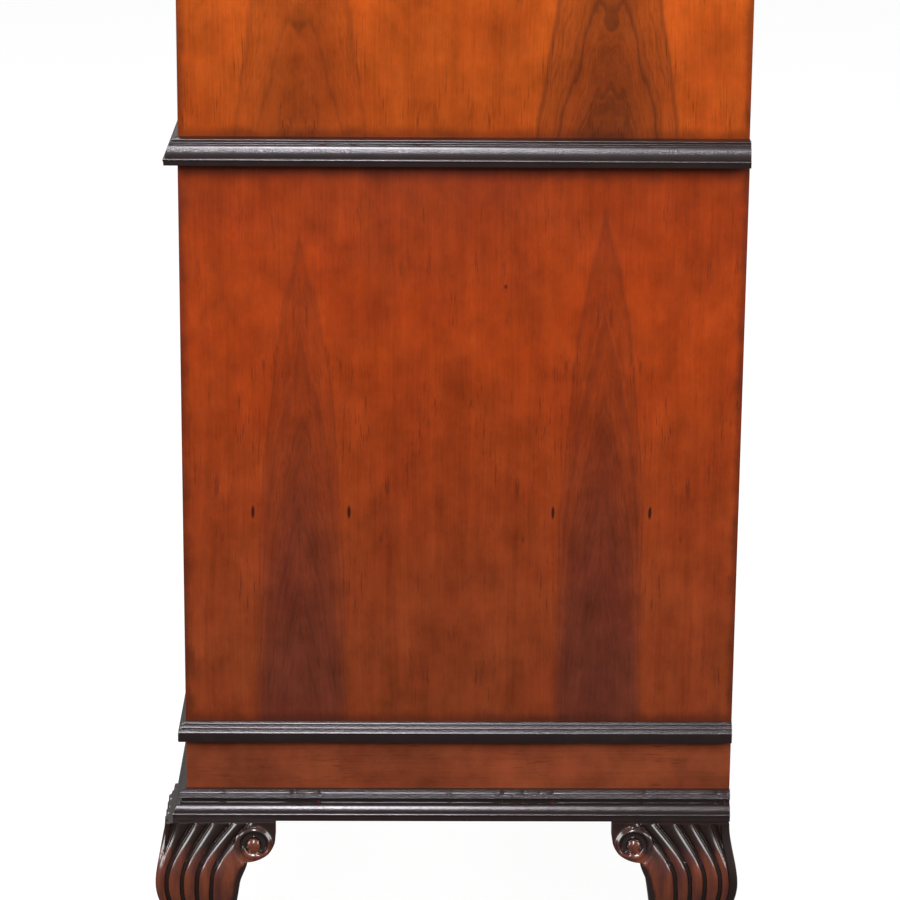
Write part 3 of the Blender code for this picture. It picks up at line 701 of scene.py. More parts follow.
def make_moulding(node, outline, half, bottom, seed, nick_count, level_front=False, body="root"):
    """A mitred moulding round the front and sides, with small dents along its exposed edges."""
    points, exposed = soften(outline, 0.0006)
    depth = BACK_Y - FRONT_Y
    runs = [((-half, BACK_Y), (0, -1), (-1, 0), depth), ((-half, FRONT_Y), (1, 0), (0, -1), 2 * half),
            ((half, FRONT_Y), (0, 1), (1, 0), depth)]
    total = 2 * depth + 2 * half
    nicks = make_nicks(total, nick_count, seed)
    rng = random.Random(seed + 1)
    phases = [rng.uniform(0, 6.28) for _ in range(4)]
    rings = []
    marks = []
    travelled = 0.0
    for number, (start, direction, outward, length) in enumerate(runs):
        stations = {0.0, length}
        stations |= {length * i / 40 for i in range(1, 40)}
        for place, width, _ in nicks:
            local = place - travelled
            stations |= {local + width * k for k in (-1.6, -0.8, 0.0, 0.8, 1.6)
                         if 0.002 < local + width * k < length - 0.002}
        ordered = sorted(stations)
        if number:
            ordered = ordered[1:]
        for along in ordered:
            place = travelled + along
            x = start[0] + direction[0] * along
            y = start[1] + direction[1] * along
            mitre_x = outward[0]
            mitre_y = outward[1]
            open_end = (number, along) in ((0, 0.0), (2, length))
            if along in (0.0, length) and not open_end:
                mitre_x = -1 if x < 0 else 1
                mitre_y = -1
            drift = sum(math.sin(place * f + p) for f, p in zip((9.0, 23.0, 61.0, 140.0), phases)) / 4
            ring = []
            ring_marks = []
            for (reach, height), open_edge in zip(points, exposed):
                dent = 0.0
                if open_edge:
                    for centre, width, deep in nicks:
                        if abs(place - centre) < 2.4 * width:
                            dent += deep * math.exp(-((place - centre) / width) ** 2)
                out = reach - dent * open_edge
                px = x + mitre_x * out
                py = y + mitre_y * out
                if level_front and py < BACK_Y - 0.001:
                    py = min(py, FRONT_Y - CLEARANCE) if number == 1 or mitre_y else py
                ring.append((px, py, bottom + height - 0.4 * dent * open_edge))
                ring_marks.append(open_edge * (0.55 + 0.35 * drift) + dent / (0.5 * MM) * 0.5)
            rings.append(ring)
            marks.append(ring_marks)
        travelled += length
    shape = loft(rings, marks=marks)
    add_piece(node + "_run", shape, "polish", body, [node], angle=32)


def base_outline():
    """Upward: square foot, thin bead, ovolo, sunk fillet, nicked edge and a sloping top."""
    reach = BASE_HIGH.x - LOWER_HALF
    height = BASE_HIGH.z - BASE_LOW.z
    points = [(CLEARANCE, 0.0), (reach - 0.0004, 0.0), (reach - 0.0004, 0.0046)]
    points += arc((reach - 0.0015, 0.0058), (0.0015, 0.0015), -70, 160, 9)
    points += [(reach - 0.0022, 0.0070)]
    points += arc((reach - 0.0082, 0.0068), (0.0066, 0.0084), 2, 86, 12)
    points += [(reach - 0.0086, 0.0156), (reach - 0.0086, 0.0200), (reach - 0.0054, 0.0203)]
    points += [(reach - 0.0050, 0.0210), (reach - 0.0064, 0.0246), (reach - 0.0074, 0.0252)]
    points += [(reach - 0.0084, height)]
    return points + [(CLEARANCE, height)]


def cap_outline():
    """Upward: flat fillet, then two slopes with a line between them."""
    reach = CAP_HIGH.x - LOWER_HALF
    height = CAP_HIGH.z - CAP_LOW.z
    points = [(CLEARANCE, 0.0), (reach - 0.0005, 0.0), (reach, 0.0012), (reach, 0.0092)]
    points += [(reach - 0.0005, 0.0100), (reach - 0.0014, 0.0127), (reach - 0.0026, 0.0132)]
    points += [(reach - 0.0036, 0.0162), (reach - 0.0048, 0.0167), (reach - 0.0055, height)]
    return points + [(CLEARANCE, height)]


def waist_outline():
    """Upward: flat fillet, thin bead, wide ovolo, fine groove and a small top fillet."""
    reach = WAIST_HIGH.x - LOWER_HALF
    height = WAIST_HIGH.z - WAIST_LOW.z
    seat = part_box("lower_side_right")[1].z - WAIST_LOW.z + CLEARANCE
    inset = UPPER_HALF - LOWER_HALF + CLEARANCE
    points = [(CLEARANCE, 0.0), (reach - 0.0008, 0.0), (reach - 0.0005, 0.0040)]
    points += arc((reach - 0.0015, 0.0050), (0.0015, 0.0015), -60, 150, 9)
    points += [(reach - 0.0024, 0.0064)]
    points += arc((reach - 0.0084, 0.0062), (0.0062, 0.0126), 2, 70, 14)
    points += [(reach - 0.0066, 0.0186), (reach - 0.0064, 0.0190)]
    points += arc((reach - 0.0070, 0.0196), (0.0008, 0.0008), -20, 100, 5)
    points += [(reach - 0.0078, 0.0208), (reach - 0.0077, 0.0212)]
    points += arc((reach - 0.0084, 0.0217), (0.0010, 0.0010), -20, 90, 5)
    return points + [(inset, height), (inset, seat), (CLEARANCE, seat)]


def cornice_outline():
    """Upward: bead, sunk fillet, wide cove and a square upper edge."""
    reach = CORNICE_HIGH.x - UPPER_HALF
    height = CORNICE_HIGH.z - CORNICE_LOW.z
    points = [(CLEARANCE, 0.0), (0.0040, 0.0)]
    points += arc((0.0040, 0.0022), (0.0022, 0.0022), -80, 160, 5)
    points += [(0.0042, 0.0050), (0.0042, 0.0075)]
    points += arc((reach - 0.0020, 0.0075), (reach - 0.0062, height - 0.0155), 180, -90, 14)
    points += [(reach - 0.0020, height - 0.0070), (reach, height - 0.0066), (reach, height)]
    return points + [(CLEARANCE, height)]


def make_mouldings():
    make_moulding("base_moulding", base_outline(), LOWER_HALF, BASE_LOW.z, 11, 64)
    make_moulding("plinth_cap_moulding", cap_outline(), LOWER_HALF, CAP_LOW.z, 12, 0)
    make_moulding("waist_moulding", waist_outline(), LOWER_HALF, WAIST_LOW.z, 13, 44, level_front=True)
    make_moulding("cornice_moulding", cornice_outline(), UPPER_HALF, CORNICE_LOW.z, 14, 40)


# ---- carved legs -------------------------------------------------------

LEG_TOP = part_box("front_leg_right")[1].z
LEG_HEIGHT = BASE_LOW.z
KNEE_HEIGHT = 0.142
KNEE_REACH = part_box("front_leg_right")[1].x - LOWER_HALF
TOP_REACH = 0.0205
ANKLE_HEIGHT = 0.056
ANKLE_REACH = 0.004
FOOT_HEIGHT = 0.012
FOOT_REACH = 0.015
SOLE_REACH = 0.011
KNEE_WIDTH = 0.050
POST_TOP_WIDTH = 0.057
ANKLE_INNER = 0.040
FOOT_INNER = 0.045
BRACKET_LENGTH = 0.083
BRACKET_DROP = 0.0365
BRACKET_THICKNESS = 0.024
BRACKET_ROOT = 0.034
CORNER = 0.006
REAR_SETBACK = 0.0213
REAR_SHIFT = 0.027
REAR_STRIP = 0.0085
SCROLL_U = BRACKET_LENGTH - 0.0203      # eye of the scroll, from the plinth's corner
SCROLL_Z = LEG_HEIGHT - 0.0212
EYE_RADIUS = 0.0062
KNEE_GROOVES = (0.0, 0.0092, 0.0236, 0.0375, 0.0514)   # along the surface, from the corner
TOP_GROOVES = (0.0080, 0.0260, 0.0420, 0.0620, 0.0780)
BEND_HEIGHT = 0.148
SCROLL_BOTTOM = LEG_HEIGHT - BRACKET_DROP
FACE_STEPS = 190                        # points across a carved face
SOLE_ROUND = 0.0022                     # height over which the sole is rounded


def leg_reach(height):
    """How far the carved faces stand out from the lower case."""
    keys = [(0.0, SOLE_REACH), (FOOT_HEIGHT, FOOT_REACH), (ANKLE_HEIGHT, ANKLE_REACH)]
    keys += [(KNEE_HEIGHT, KNEE_REACH), (LEG_HEIGHT, TOP_REACH)]
    return smooth_between(keys, height)


def leg_inner(height):
    """How far the post runs in from the plinth's corner."""
    keys = [(0.0, FOOT_INNER), (ANKLE_HEIGHT, ANKLE_INNER), (KNEE_HEIGHT, KNEE_WIDTH)]
    keys += [(SCROLL_BOTTOM, POST_TOP_WIDTH), (LEG_HEIGHT, POST_TOP_WIDTH)]
    return smooth_between(keys, height)


def bracket_tip(height):
    """How far the leg with its bracket runs in from the plinth's corner."""
    post = leg_inner(height)
    if height <= SCROLL_BOTTOM:
        return post
    rise = (height - SCROLL_BOTTOM) / BRACKET_DROP
    return post + (BRACKET_LENGTH - post) * math.sqrt(1 - (1 - min(rise * 1.8, 1.0)) ** 2)


def groove_places(height):
    """Where the grooves between the reeds are at one height, along the surface."""
    if height >= BEND_HEIGHT:
        t = ((height - BEND_HEIGHT) / (LEG_HEIGHT - BEND_HEIGHT)) ** 1.75
        return [k + (top - k) * t for k, top in zip(KNEE_GROOVES, TOP_GROOVES)]
    share = (leg_reach(height) + leg_inner(height)) / (KNEE_REACH + KNEE_WIDTH)
    return [k * min(share, 1.0) for k in KNEE_GROOVES]


def reed_relief(s, height):
    """Depth below the leg's envelope and darkness, between the round reeds and on the flank; the darkness
    is dark wax together with painted shade, in the grooves and under the base moulding.
    """
    places = groove_places(height)
    nearest = min(places, key=lambda place: abs(s - place))
    distance = abs(s - nearest)
    fade = step(height, 0.022, 0.045)
    spread = step(height, 0.152, 0.186)
    floor = 0.0014 + 0.0012 * spread
    half = 0.0068
    if s < places[-1]:
        right = min((p for p in places if p >= s), default=places[-1])
        left = max((p for p in places if p <= s), default=right - 2 * half)
        half = (right - left) / 2
    else:
        half = 0.0090
    across = min(max((distance - floor) / max(half - floor, 0.001), 0.0), 1.0)
    if nearest == places[0]:
        fade *= step(height, 0.150, 0.182)
    deep = 0.0036 * (1 - math.sqrt(1 - (1 - across) ** 2))
    rim = 0.0013 * spread * math.exp(-((s - nearest + 0.0010) / 0.0009) ** 2)
    rim += 0.0008 * spread * math.exp(-((s - nearest - 0.0026) / 0.0008) ** 2)
    # dark wax and painted shade in the grooves
    dark = step(distance, floor + 0.0016, floor - 0.0004)
    # dark wax and painted shade: the leg's top, under the base moulding, is nearly black
    dark = max(dark, 0.86 * step(height, 0.150, 0.189))
    return (deep - rim) * fade, dark * fade


def scroll_relief(u, height):
    """Depth and darkness of the scroll: a band winds in from the flank and ends under a ball. The darkness
    is dark wax together with painted shade, in the groove, on the upper side and at the ball's rim.
    """
    du = u - SCROLL_U
    dz = height - SCROLL_Z
    radius = math.hypot(du, dz)
    turn = math.degrees(math.atan2(du, dz))          # 0 is up, clockwise towards the tip
    if turn < -100:
        turn += 360
    crest = 0.0146 - 0.0042 * step(turn, 100, 165)
    closed = step(turn, 128, 156) * (1 - step(turn, 203, 228))
    inner_edge = crest - 0.0012 + 0.0004 * step(turn, -60, 30)
    inner_edge -= 0.0012 * step(turn, 203, 228)
    groove = step(radius, EYE_RADIUS - 0.0003, EYE_RADIUS + 0.0012)
    groove *= step(radius, inner_edge, inner_edge - 0.0022) * (1 - closed)
    slab = step(radius, crest - 0.0004, crest + 0.0046) * (1 - step(turn, 98, 125)) * step(turn, -66, -40)
    band = 0.0008 * min(abs(radius - crest) / 0.0028, 1.0) ** 2
    deep = 0.0048 * groove + 0.0028 * slab + band * (1 - groove)
    ball = math.sqrt(max(0.0, 1 - (radius / EYE_RADIUS) ** 2))
    if radius < EYE_RADIUS:
        deep = (0.0034 * (1 - ball)) * (1 - closed) + 0.0010 * (1 - ball) * closed
    # dark wax and painted shade: the groove and the upper side are dark, the lower side less so
    lower_side = step(turn, 70, 150) * (1 - step(turn, 215, 255))
    dark = max(groove, 0.80 * slab, 0.72 - 0.40 * lower_side)
    # painted shade at the ball's rim
    if radius < EYE_RADIUS:
        dark = 0.10 + 0.5 * (1 - ball) ** 2 * (1 - closed)
    return deep, dark


def face_relief(u, height, reach):
    """Depth below the envelope on a carved face; u is from the plinth's corner inward."""
    s = u + reach - CORNER + CORNER * math.pi / 4
    deep, dark = reed_relief(s, height)
    radius = math.hypot(u - SCROLL_U, height - SCROLL_Z)
    inside = max(step(radius, 0.0192, 0.0172), step(u, SCROLL_U - 0.004, SCROLL_U + 0.004))
    inside *= step(height, SCROLL_BOTTOM - 0.014, SCROLL_BOTTOM - 0.002)
    scroll, scroll_dark = scroll_relief(u, height)
    edge = max(bracket_tip(height) - u, 0.0)
    below = 1 - step(height, 0.157, 0.164)
    reach_in = 0.0022 + 0.0075 * below
    roll = (0.0018 + 0.0042 * below) * (1 - min(edge / reach_in, 1.0)) ** 2
    # painted shade along the leg's rolled-off inner edge
    rolled_edge_shade = min(1.35 * (1 - min(edge / (0.0012 + 0.0085 * below), 1.0)), 0.95)
    deep = deep + (scroll - deep) * inside + roll
    dark = dark + (scroll_dark - dark) * inside
    return deep, max(dark, rolled_edge_shade)


def face_points(tip, height, reach, shift, end, count):
    """Points of a carved face from its tip to where the corner starts, as (u, depth, dark)."""
    points = []
    for i in range(count + 1):
        u = tip + (end - tip) * i / count
        deep, dark = face_relief(u - shift, height, reach)
        points.append((u, deep, dark))
    return points


def front_leg_ring(height):
    reach = leg_reach(height)
    tip = bracket_tip(height)
    post = leg_inner(height)
    face = face_points(tip, height, reach, 0.0, CORNER - reach, FACE_STEPS)
    ring = [(u, -reach + deep, dark) for u, deep, dark in face]
    centre = CORNER - reach
    for i in range(1, 8):
        angle = math.radians(90 * i / 8)
        s = CORNER * abs(math.pi / 4 - angle)
        deep, dark = reed_relief(s, height)
        radius = CORNER - deep
        ring.append((centre - radius * math.sin(angle), centre - radius * math.cos(angle), dark))
    ring += [(-reach + deep, u, dark) for u, deep, dark in reversed(face)]
    ring += [(-reach + BRACKET_THICKNESS, tip, 0.5), (-reach + BRACKET_ROOT, post, 0.6)]
    ring += [(post, post, 0.4), (post, -reach + BRACKET_ROOT, 0.6)]
    ring += [(tip, -reach + BRACKET_THICKNESS, 0.5)]
    return ring


def rear_leg_ring(height):
    """Only the side face is carved; behind it runs a plain strip, flat at the back."""
    reach = leg_reach(height)
    tip = bracket_tip(height) + REAR_SHIFT
    post = leg_inner(height)
    back = REAR_SETBACK - reach
    seam = back + REAR_STRIP
    face = face_points(tip, height, reach, REAR_SHIFT, seam, FACE_STEPS)
    ring = [(u, -reach + deep, dark) for u, deep, dark in face]
    ring += [(seam - 0.0004, -reach + 0.0030, 1.0), (seam - 0.0010, -reach + 0.0022, 0.9)]
    ring += [(back + 0.0012, -reach + 0.0022, 0.85), (back, -reach + 0.0034, 0.8)]
    ring += [(back, post, 0.8), (post + REAR_SHIFT, post, 0.6)]
    ring += [(post + REAR_SHIFT, -reach + BRACKET_ROOT, 0.6), (tip, -reach + BRACKET_THICKNESS, 0.5)]
    return ring


def leg_heights():
    """Stations up the leg, close together where the scroll and the bend of the reeds are."""
    below = 80
    above = 76
    heights = [0.0, 0.0008, SOLE_ROUND]
    heights += [SOLE_ROUND + (SCROLL_BOTTOM - SOLE_ROUND) * i / below for i in range(1, below + 1)]
    rise = LEG_TOP - SCROLL_BOTTOM
    heights += [SCROLL_BOTTOM + rise * (i / above) ** 1.2 for i in range(1, above + 1)]
    return heights


def make_leg(node, side, rear):
    rings = []
    marks = []
    for height in leg_heights():
        ring = rear_leg_ring(height) if rear else front_leg_ring(height)
        squeeze = 0.0016 * (1 - min(height / SOLE_ROUND, 1.0)) ** 2
        middle = 0.017             # of the foot, from the plinth's corner
        points = []
        for u, v, _ in ring:
            u += squeeze * (1 if u < middle else -1)
            v += squeeze * (1 if v < middle else -1)
            y = BACK_Y - u if rear else FRONT_Y + u
            points.append((side * (LOWER_HALF - v), y, height))
        rings.append(points)
        # the groove attribute carries dark wax, the rear strip's dark paint and painted shade
        marks.append([dark for _, _, dark in ring])
    shape = loft(rings, marks=marks, mark_name="groove")
    add_piece(node + "_carved", shape, "carved", "root", [node], angle=50)


def make_legs():
    for label, side in (("left", -1), ("right", 1)):
        make_leg("front_leg_" + label, side, False)
        make_leg("rear_leg_" + label, side, True)


# ---- drawers -----------------------------------------------------------

FIELD_DEPTH = 0.002                     # the veneered field lies behind the front's outermost face


def make_drawer_front(drawer):
    """Board with a veneered field: centre panel, light stringing and a crossband."""
    low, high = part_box(drawer + "_front")
    chamfer = 0.0008
    bead = 0.004
    face = low.y + FIELD_DEPTH
    shape = bmesh.new()
    rects = []
    for inset in (0.0, chamfer, chamfer + bead, 0.026, 0.0275):
        y = face if inset else face + chamfer
        corners = [(low.x + inset, y, low.z + inset), (high.x - inset, y, low.z + inset),
                   (high.x - inset, y, high.z - inset), (low.x + inset, y, high.z - inset)]
        rects.append([shape.verts.new(c) for c in corners])
    back = [shape.verts.new((v.co.x, high.y, v.co.z)) for v in rects[0]]
    band_material = {0: 0, 1: 0, 2: 1, 3: 3}
    for k, (outer, inner) in enumerate(zip(rects, rects[1:])):
        for i in range(4):
            j = (i + 1) % 4
            quad = shape.faces.new((outer[i], outer[j], inner[j], inner[i]))
            upright = i in (1, 3)
            quad.material_index = 2 if k == 2 and upright else band_material[k]
    shape.faces.new(rects[-1]).material_index = 0
    for i in range(4):
        j = (i + 1) % 4
        shape.faces.new((rects[0][j], rects[0][i], back[i], back[j])).material_index = 4
    shape.faces.new(list(reversed(back))).material_index = 4
    materials = ["drawer", "crossband_z", "crossband_x", "stringing", "oak_x"]
    add_piece(drawer + "_front_board", shape, materials, drawer,
              [drawer + "_front"], angle=20)
    make_cock_bead(drawer, low, high, face)


def make_cock_bead(drawer, low, high, face):
    """A thin half-round bead that stands proud all round the drawer front."""
    width = 0.0034
    profile = [(0.0, face + 0.0010)]
    for i in range(7):
        angle = math.radians(180 * i / 6)
        across = width / 2 * (1 - math.cos(angle))
        profile.append((across, face + 0.0002 - 0.0021 * math.sin(angle) ** 0.8))
    profile.append((width, face + 0.0010))
    rings = []
    for sx, sz in ((-1, -1), (1, -1), (1, 1), (-1, 1)):
        ring = []
        for across, y in profile:
            x = high.x - across if sx > 0 else low.x + across
            z = high.z - across if sz > 0 else low.z + across
            ring.append((x, y, z))
        rings.append(ring)
    marks = [[0.0] + [0.25] * (len(profile) - 2) + [0.0] for _ in rings]
    add_piece(drawer + "_cock_bead", loft(rings, closed=True, marks=marks), "polish", drawer,
              angle=50)


def make_drawer_box(drawer):
    """Sides, back and bottom in pale wood, and the front's dovetails showing in the sides."""
    low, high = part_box(drawer + "_box")
    side = 0.012
    raise_bottom = 0.008
    bottom = 0.006
    drop = 0.006
    for label, x0, x1 in (("left", low.x, low.x + side), ("right", high.x - side, high.x)):
        shape = box_shape((x0, low.y, low.z), (x1, high.y, high.z), 0.0010)
        stands_for = [drawer + "_box"] if label == "left" else []
        add_piece(drawer + "_side_" + label, shape, "oak_y", drawer, stands_for)
    seat = low.z + raise_bottom
    back = box_shape((low.x + side, high.y - side, seat), (high.x - side, high.y, high.z - drop), 0.0008)
    add_piece(drawer + "_back", back, "oak_x", drawer)
    panel = box_shape((low.x + side, low.y, seat), (high.x - side, high.y - side, seat + bottom), 0.0004, 1)
    add_piece(drawer + "_bottom", panel, "oak_x", drawer)
    make_dovetails(drawer, low, high)


def make_dovetails(drawer, low, high):
    """Pins of the front that show on the outside of each side."""
    length = 0.012
    proud = 0.00025
    pitch = 0.034
    wide = 0.0075
    narrow = 0.0045
    height = high.z - low.z
    count = max(2, round(height / pitch))
    for label, x, out in (("left", low.x, -1), ("right", high.x, 1)):
        for i in range(count):
            middle = low.z + height * (i + 0.5) / count
            y0 = low.y + 0.0002
            y1 = low.y + length
            section = [(y0, middle - narrow), (y0, middle + narrow)]
            section += [(y1, middle + wide), (y1, middle - wide)]
            rings = [[(x - out * 0.0004, y, z) for y, z in section],
                     [(x + out * proud, y, z) for y, z in section]]
            add_piece(drawer + "_dovetail_" + label + "_" + str(i + 1), loft(rings), "oak_x", drawer)


# ---- brass pulls -------------------------------------------------------

PLATE_THICKNESS = 0.0013
POST_OFFSET = 0.044                     # from the middle of the plate


def add_brass(name, shape, body, stands_for=(), angle=35.0):
    add_piece(name, shape, "brass", body, stands_for, angle)


def plate_outline(length, height, steps):
    """An oval with four lobes."""
    points = []
    for i in range(steps):
        angle = 2 * math.pi * i / steps
        lobe = (1 + 0.16 * math.cos(4 * angle)) / 1.16
        points.append((length / 2 * math.cos(angle) * lobe, height / 2 * math.sin(angle) * lobe))
    return points


def make_plate(name, drawer, middle, length, height, back, stands_for):
    """Shaped back plate with a bevelled rim and an engraved line inside it."""
    profile = [(1.0, 0.0, 0.0), (1.0, 0.5, 0.0), (0.965, 1.0, 0.0), (0.925, 1.0, 0.0)]
    profile += [(0.912, 0.72, 1.0), (0.898, 1.0, 0.0), (0.55, 1.12, 0.0), (0.05, 1.2, 0.0)]
    rings = []
    marks = []
    for scale, level, dark in profile:
        ring = [(middle.x + x * scale, back - PLATE_THICKNESS * level, middle.z + z * scale)
                for x, z in plate_outline(length, height, 72)]
        rings.append(ring)
        marks.append([dark] * len(ring))
    add_brass(name, loft(rings, marks=marks, mark_name="groove"), drawer, stands_for, 40)


def turned(profile, centre, steps=20):
    """A form turned round the Y axis; the profile is (distance in front, radius)."""
    rings = []
    for y, radius in profile:
        rings.append([(centre.x + radius * math.cos(2 * math.pi * i / steps), y,
                       centre.z + radius * math.sin(2 * math.pi * i / steps)) for i in range(steps)])
    return loft(rings, mark_name="groove")


def make_post(name, drawer, x, z, back, tip):
    """Post with a collar at the plate, a slim neck and a round head for the bail's pin."""
    depth = back - tip
    head = 0.0048
    profile = [(0.0, 0.0064), (0.10, 0.0066), (0.16, 0.0056), (0.22, 0.0036), (0.34, 0.0032)]
    points = [(back - depth * share, radius) for share, radius in profile]
    centre = tip + head
    for i in range(10):
        angle = math.radians(150 - 15 * i)
        points.append((centre - head * math.cos(math.radians(180) - angle), head * math.sin(angle)))
    points = [(min(y, back), max(r, 0.0004)) for y, r in points]
    points = sorted(points, key=lambda p: -p[0])
    add_brass(name, turned(points, Vector((x, 0, z))), drawer, angle=40)


def tube(path, radii, sides=14):
    """A round bar along a path in the XZ plane, thick where its radius says."""
    rings = []
    for i, point in enumerate(path):
        before = path[max(i - 1, 0)]
        after = path[min(i + 1, len(path) - 1)]
        tangent = (after - before).normalized()
        side = Vector((0, 1, 0))
        up = tangent.cross(side)
        ring = []
        for k in range(sides):
            angle = 2 * math.pi * k / sides
            ring.append(point + (side * math.cos(angle) + up * math.sin(angle)) * radii[i])
        rings.append(ring)
    return loft(rings, mark_name="groove")


def make_bail(node):
    """Swan-neck bail: thin at the pins, fuller at the grip, with a small bead in the middle."""
    low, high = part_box(node)
    radius = (high.y - low.y) / 2
    axis = Vector(((low.x + high.x) / 2, (low.y + high.y) / 2, high.z - radius))
    half = (high.x - low.x) / 2
    drop = axis.z - low.z - radius
    shoulder = half - 0.0096
    line = []
    thick = []
    steps = 16
    for i in range(4):
        line.append(Vector((half - (half - shoulder - 0.002) * i / 3, 0, 0)))
        thick.append(0.0021)
    for i in range(steps + 1):
        t = i / steps
        angle = math.radians(90 * t)
        x = (shoulder - 0.0016 * math.sin(math.pi * t * 1.6)) * math.cos(angle) ** 0.72
        z = -0.0018 - (drop - 0.0018) * math.sin(angle) ** 0.85
        line.append(Vector((x, 0, z)))
        bead = 0.0009 * math.exp(-((t - 1.0) / 0.045) ** 2)
        thick.append(0.0019 + 0.0007 * t * t + bead)
    thick = [min(value, radius + 0.0006) for value in thick]
    mirrored = [Vector((-p.x, 0, p.z)) for p in reversed(line[:-1])]
    path = [axis + p for p in line + mirrored]
    radii = thick + list(reversed(thick[:-1]))
    add_brass(node + "_bar", tube(path, radii), node, [node], 60)


def make_pulls(drawer):
    """Two pulls, each a plate with two posts and a bail; the bail is its own body."""
    for label in ("left", "right"):
        node = drawer + "_pull_" + label
        low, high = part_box(node)
        bail_low, bail_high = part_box(drawer + "_bail_" + label)
        middle = (low + high) / 2
        z = bail_high.z - (bail_high.y - bail_low.y) / 2       # height of the bail's pins
        make_plate(node + "_plate", drawer, middle, high.x - low.x, high.z - low.z, high.y, [node])
        for side_name, side in (("near", -1), ("far", 1)):
            make_post(node + "_post_" + side_name, drawer, middle.x + side * POST_OFFSET, z,
                      high.y - PLATE_THICKNESS, low.y)
        make_bail(drawer + "_bail_" + label)


def make_escutcheon(drawer):
    """Brass keyhole plate in the middle of the drawer, with a keyhole of painted shade."""
    low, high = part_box(drawer + "_front")
    face = low.y + FIELD_DEPTH
    middle = Vector((0, face, (low.z + high.z) / 2 + 0.004))
    outline = []
    for i in range(48):
        angle = 2 * math.pi * i / 48
        stretch = 1 + 0.10 * math.cos(3 * angle + math.pi / 2)
        outline.append((0.0105 * math.cos(angle) * stretch, 0.0165 * math.sin(angle) * stretch))
    rings = []
    for scale, level in ((1.0, 0.0), (1.0, 0.0006), (0.93, 0.0012), (0.05, 0.0014)):
        rings.append([(x * scale, face - level, middle.z + z * scale) for x, z in outline])
    add_brass(drawer + "_escutcheon", loft(rings, mark_name="groove"), drawer)
    hole = [(0.0024 * math.sin(math.radians(a)), 0.0024 + 0.0024 * math.cos(math.radians(a)))
            for a in range(-150, 151, 20)]
    hole += [(0.0018, -0.0062), (-0.0018, -0.0062)]
    rings = [[(x, face - level, middle.z + z) for x, z in hole] for level in (0.0008, 0.00155)]
    # painted shade: a dark solid stands in for the keyhole's opening
    add_piece(drawer + "_keyhole", loft(rings), "hollow", drawer)


def make_drawers():
    for drawer in DRAWERS:
        make_drawer_front(drawer)
        make_drawer_box(drawer)
        make_pulls(drawer)
        make_escutcheon(drawer)


# ---- studio ------------------------------------------------------------

def make_floor():
    """Pale floor that mostly lights itself, so that it stays even far from the lamps."""
    g = Graph("floor_pale")
    speck = g.cloud((3, 3, 3), detail=3.0)
    tone = g.mix(speck, (0.22, 0.22, 0.22, 1), (0.25, 0.25, 0.25, 1))
    g.shader.inputs["Emission Color"].default_value = (1.0, 1.0, 1.0, 1)
    g.shader.inputs["Emission Strength"].default_value = 0.88
    material = g.finish(tone, 0.9, specular=0.1)
    mesh = bpy.data.meshes.new("studio_floor")
    size = 40.0
    mesh.from_pydata([(-size, -size, 0), (size, -size, 0), (size, size, 0), (-size, size, 0)], [],
                     [(0, 1, 2, 3)])
    mesh.materials.append(material)
    floor = bpy.data.objects.new("studio_floor", mesh)
    bpy.context.scene.collection.objects.link(floor)
    floor.visible_glossy = False
    floor.visible_diffuse = False


def make_world():
    """Soft light from above the horizon and less from below."""
    world = bpy.data.worlds.new("studio")
    world.use_nodes = True
    tree = world.node_tree
    background = tree.nodes["Background"]
    coordinates = tree.nodes.new("ShaderNodeTexCoord")
    split = tree.nodes.new("ShaderNodeSeparateXYZ")
    ramp = tree.nodes.new("ShaderNodeMapRange")
    ramp.inputs["From Min"].default_value = -0.25
    ramp.inputs["From Max"].default_value = 0.30
    ramp.inputs["To Min"].default_value = 0.10
    ramp.inputs["To Max"].default_value = 0.30
    tree.links.new(coordinates.outputs["Generated"], split.inputs[0])
    tree.links.new(split.outputs[2], ramp.inputs["Value"])
    tree.links.new(ramp.outputs[0], background.inputs["Strength"])
    background.inputs["Color"].default_value = (1.0, 1.0, 1.0, 1)
    bpy.context.scene.world = world


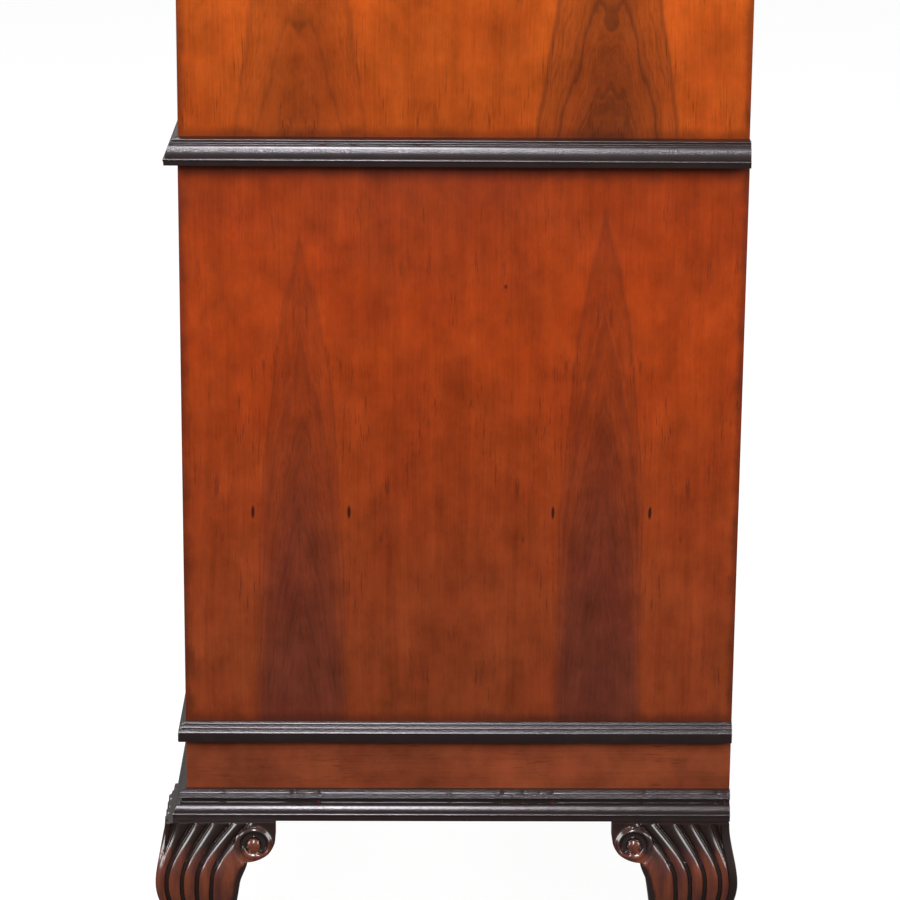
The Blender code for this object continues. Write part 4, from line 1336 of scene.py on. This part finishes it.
def make_light(name, place, target, size, radiance):
    """A rectangular lamp; its power is worked out from its radiance and size."""
    light = bpy.data.lights.new(name, "AREA")
    light.shape = "RECTANGLE"
    light.size, light.size_y = size
    light.energy = radiance * size[0] * size[1] * math.pi
    lamp = bpy.data.objects.new(name, light)
    lamp.location = place
    direction = Vector(target) - Vector(place)
    lamp.rotation_euler = direction.to_track_quat("-Z", "Y").to_euler()
    bpy.context.scene.collection.objects.link(lamp)
    return lamp


def make_studio():
    make_floor()
    make_world()
    centre = (0, MIDDLE_Y, 0.7)
    make_light("key_side", (3.3, MIDDLE_Y - 0.2, 3.3), (0.3, MIDDLE_Y, 0.7), (0.46, 2.7), 25)
    make_light("front_softbox", (1.6, -4.3, 2.2), centre, (3.5, 2.4), 6)
    make_light("back_softbox", (1.6, 4.3, 2.2), centre, (3.5, 2.4), 5)
    make_light("far_softbox", (-2.8, -1.1, 3.9), centre, (2.0, 1.8), 3.6)
    bpy.context.scene.view_settings.view_transform = "Standard"


def make_camera():
    """The photograph's view, from chest height, looking along -X and down."""
    yaw = math.radians(0.909)
    pitch = math.radians(15.755)   # the camera fit gave 15.777; lowered
    roll = math.radians(0.463)
    distance = 2.8633              # from the lower case's side
    sideways = -0.0559             # from the middle of the case
    above = 1.1649                 # over the underside of the base moulding
    forward = Vector((-math.cos(yaw), math.sin(yaw), 0))
    right = Vector((math.sin(yaw), math.cos(yaw), 0))
    up = Vector((0, 0, 1))
    ahead = forward * math.cos(pitch) - up * math.sin(pitch)
    up = up * math.cos(pitch) + forward * math.sin(pitch)
    right, up = right * math.cos(roll) + up * math.sin(roll), up * math.cos(roll) - right * math.sin(roll)
    data = bpy.data.cameras.new("photo_camera")
    data.sensor_width = 36.0
    data.lens = 130.975            # mm; from the camera fit, like the other values here
    data.clip_end = 200
    camera = bpy.data.objects.new("photo_camera", data)
    turn = Matrix((right, up, -ahead)).transposed().to_4x4()
    place = Vector((LOWER_HALF + distance, MIDDLE_Y + sideways, BASE_LOW.z + above))
    camera.matrix_world = Matrix.Translation(place) @ turn
    bpy.context.scene.collection.objects.link(camera)
    bpy.context.scene.camera = camera


make_boards()
make_rail_facings()
make_plinth()
make_top()
make_mouldings()
make_legs()
make_drawers()
make_studio()
make_camera()
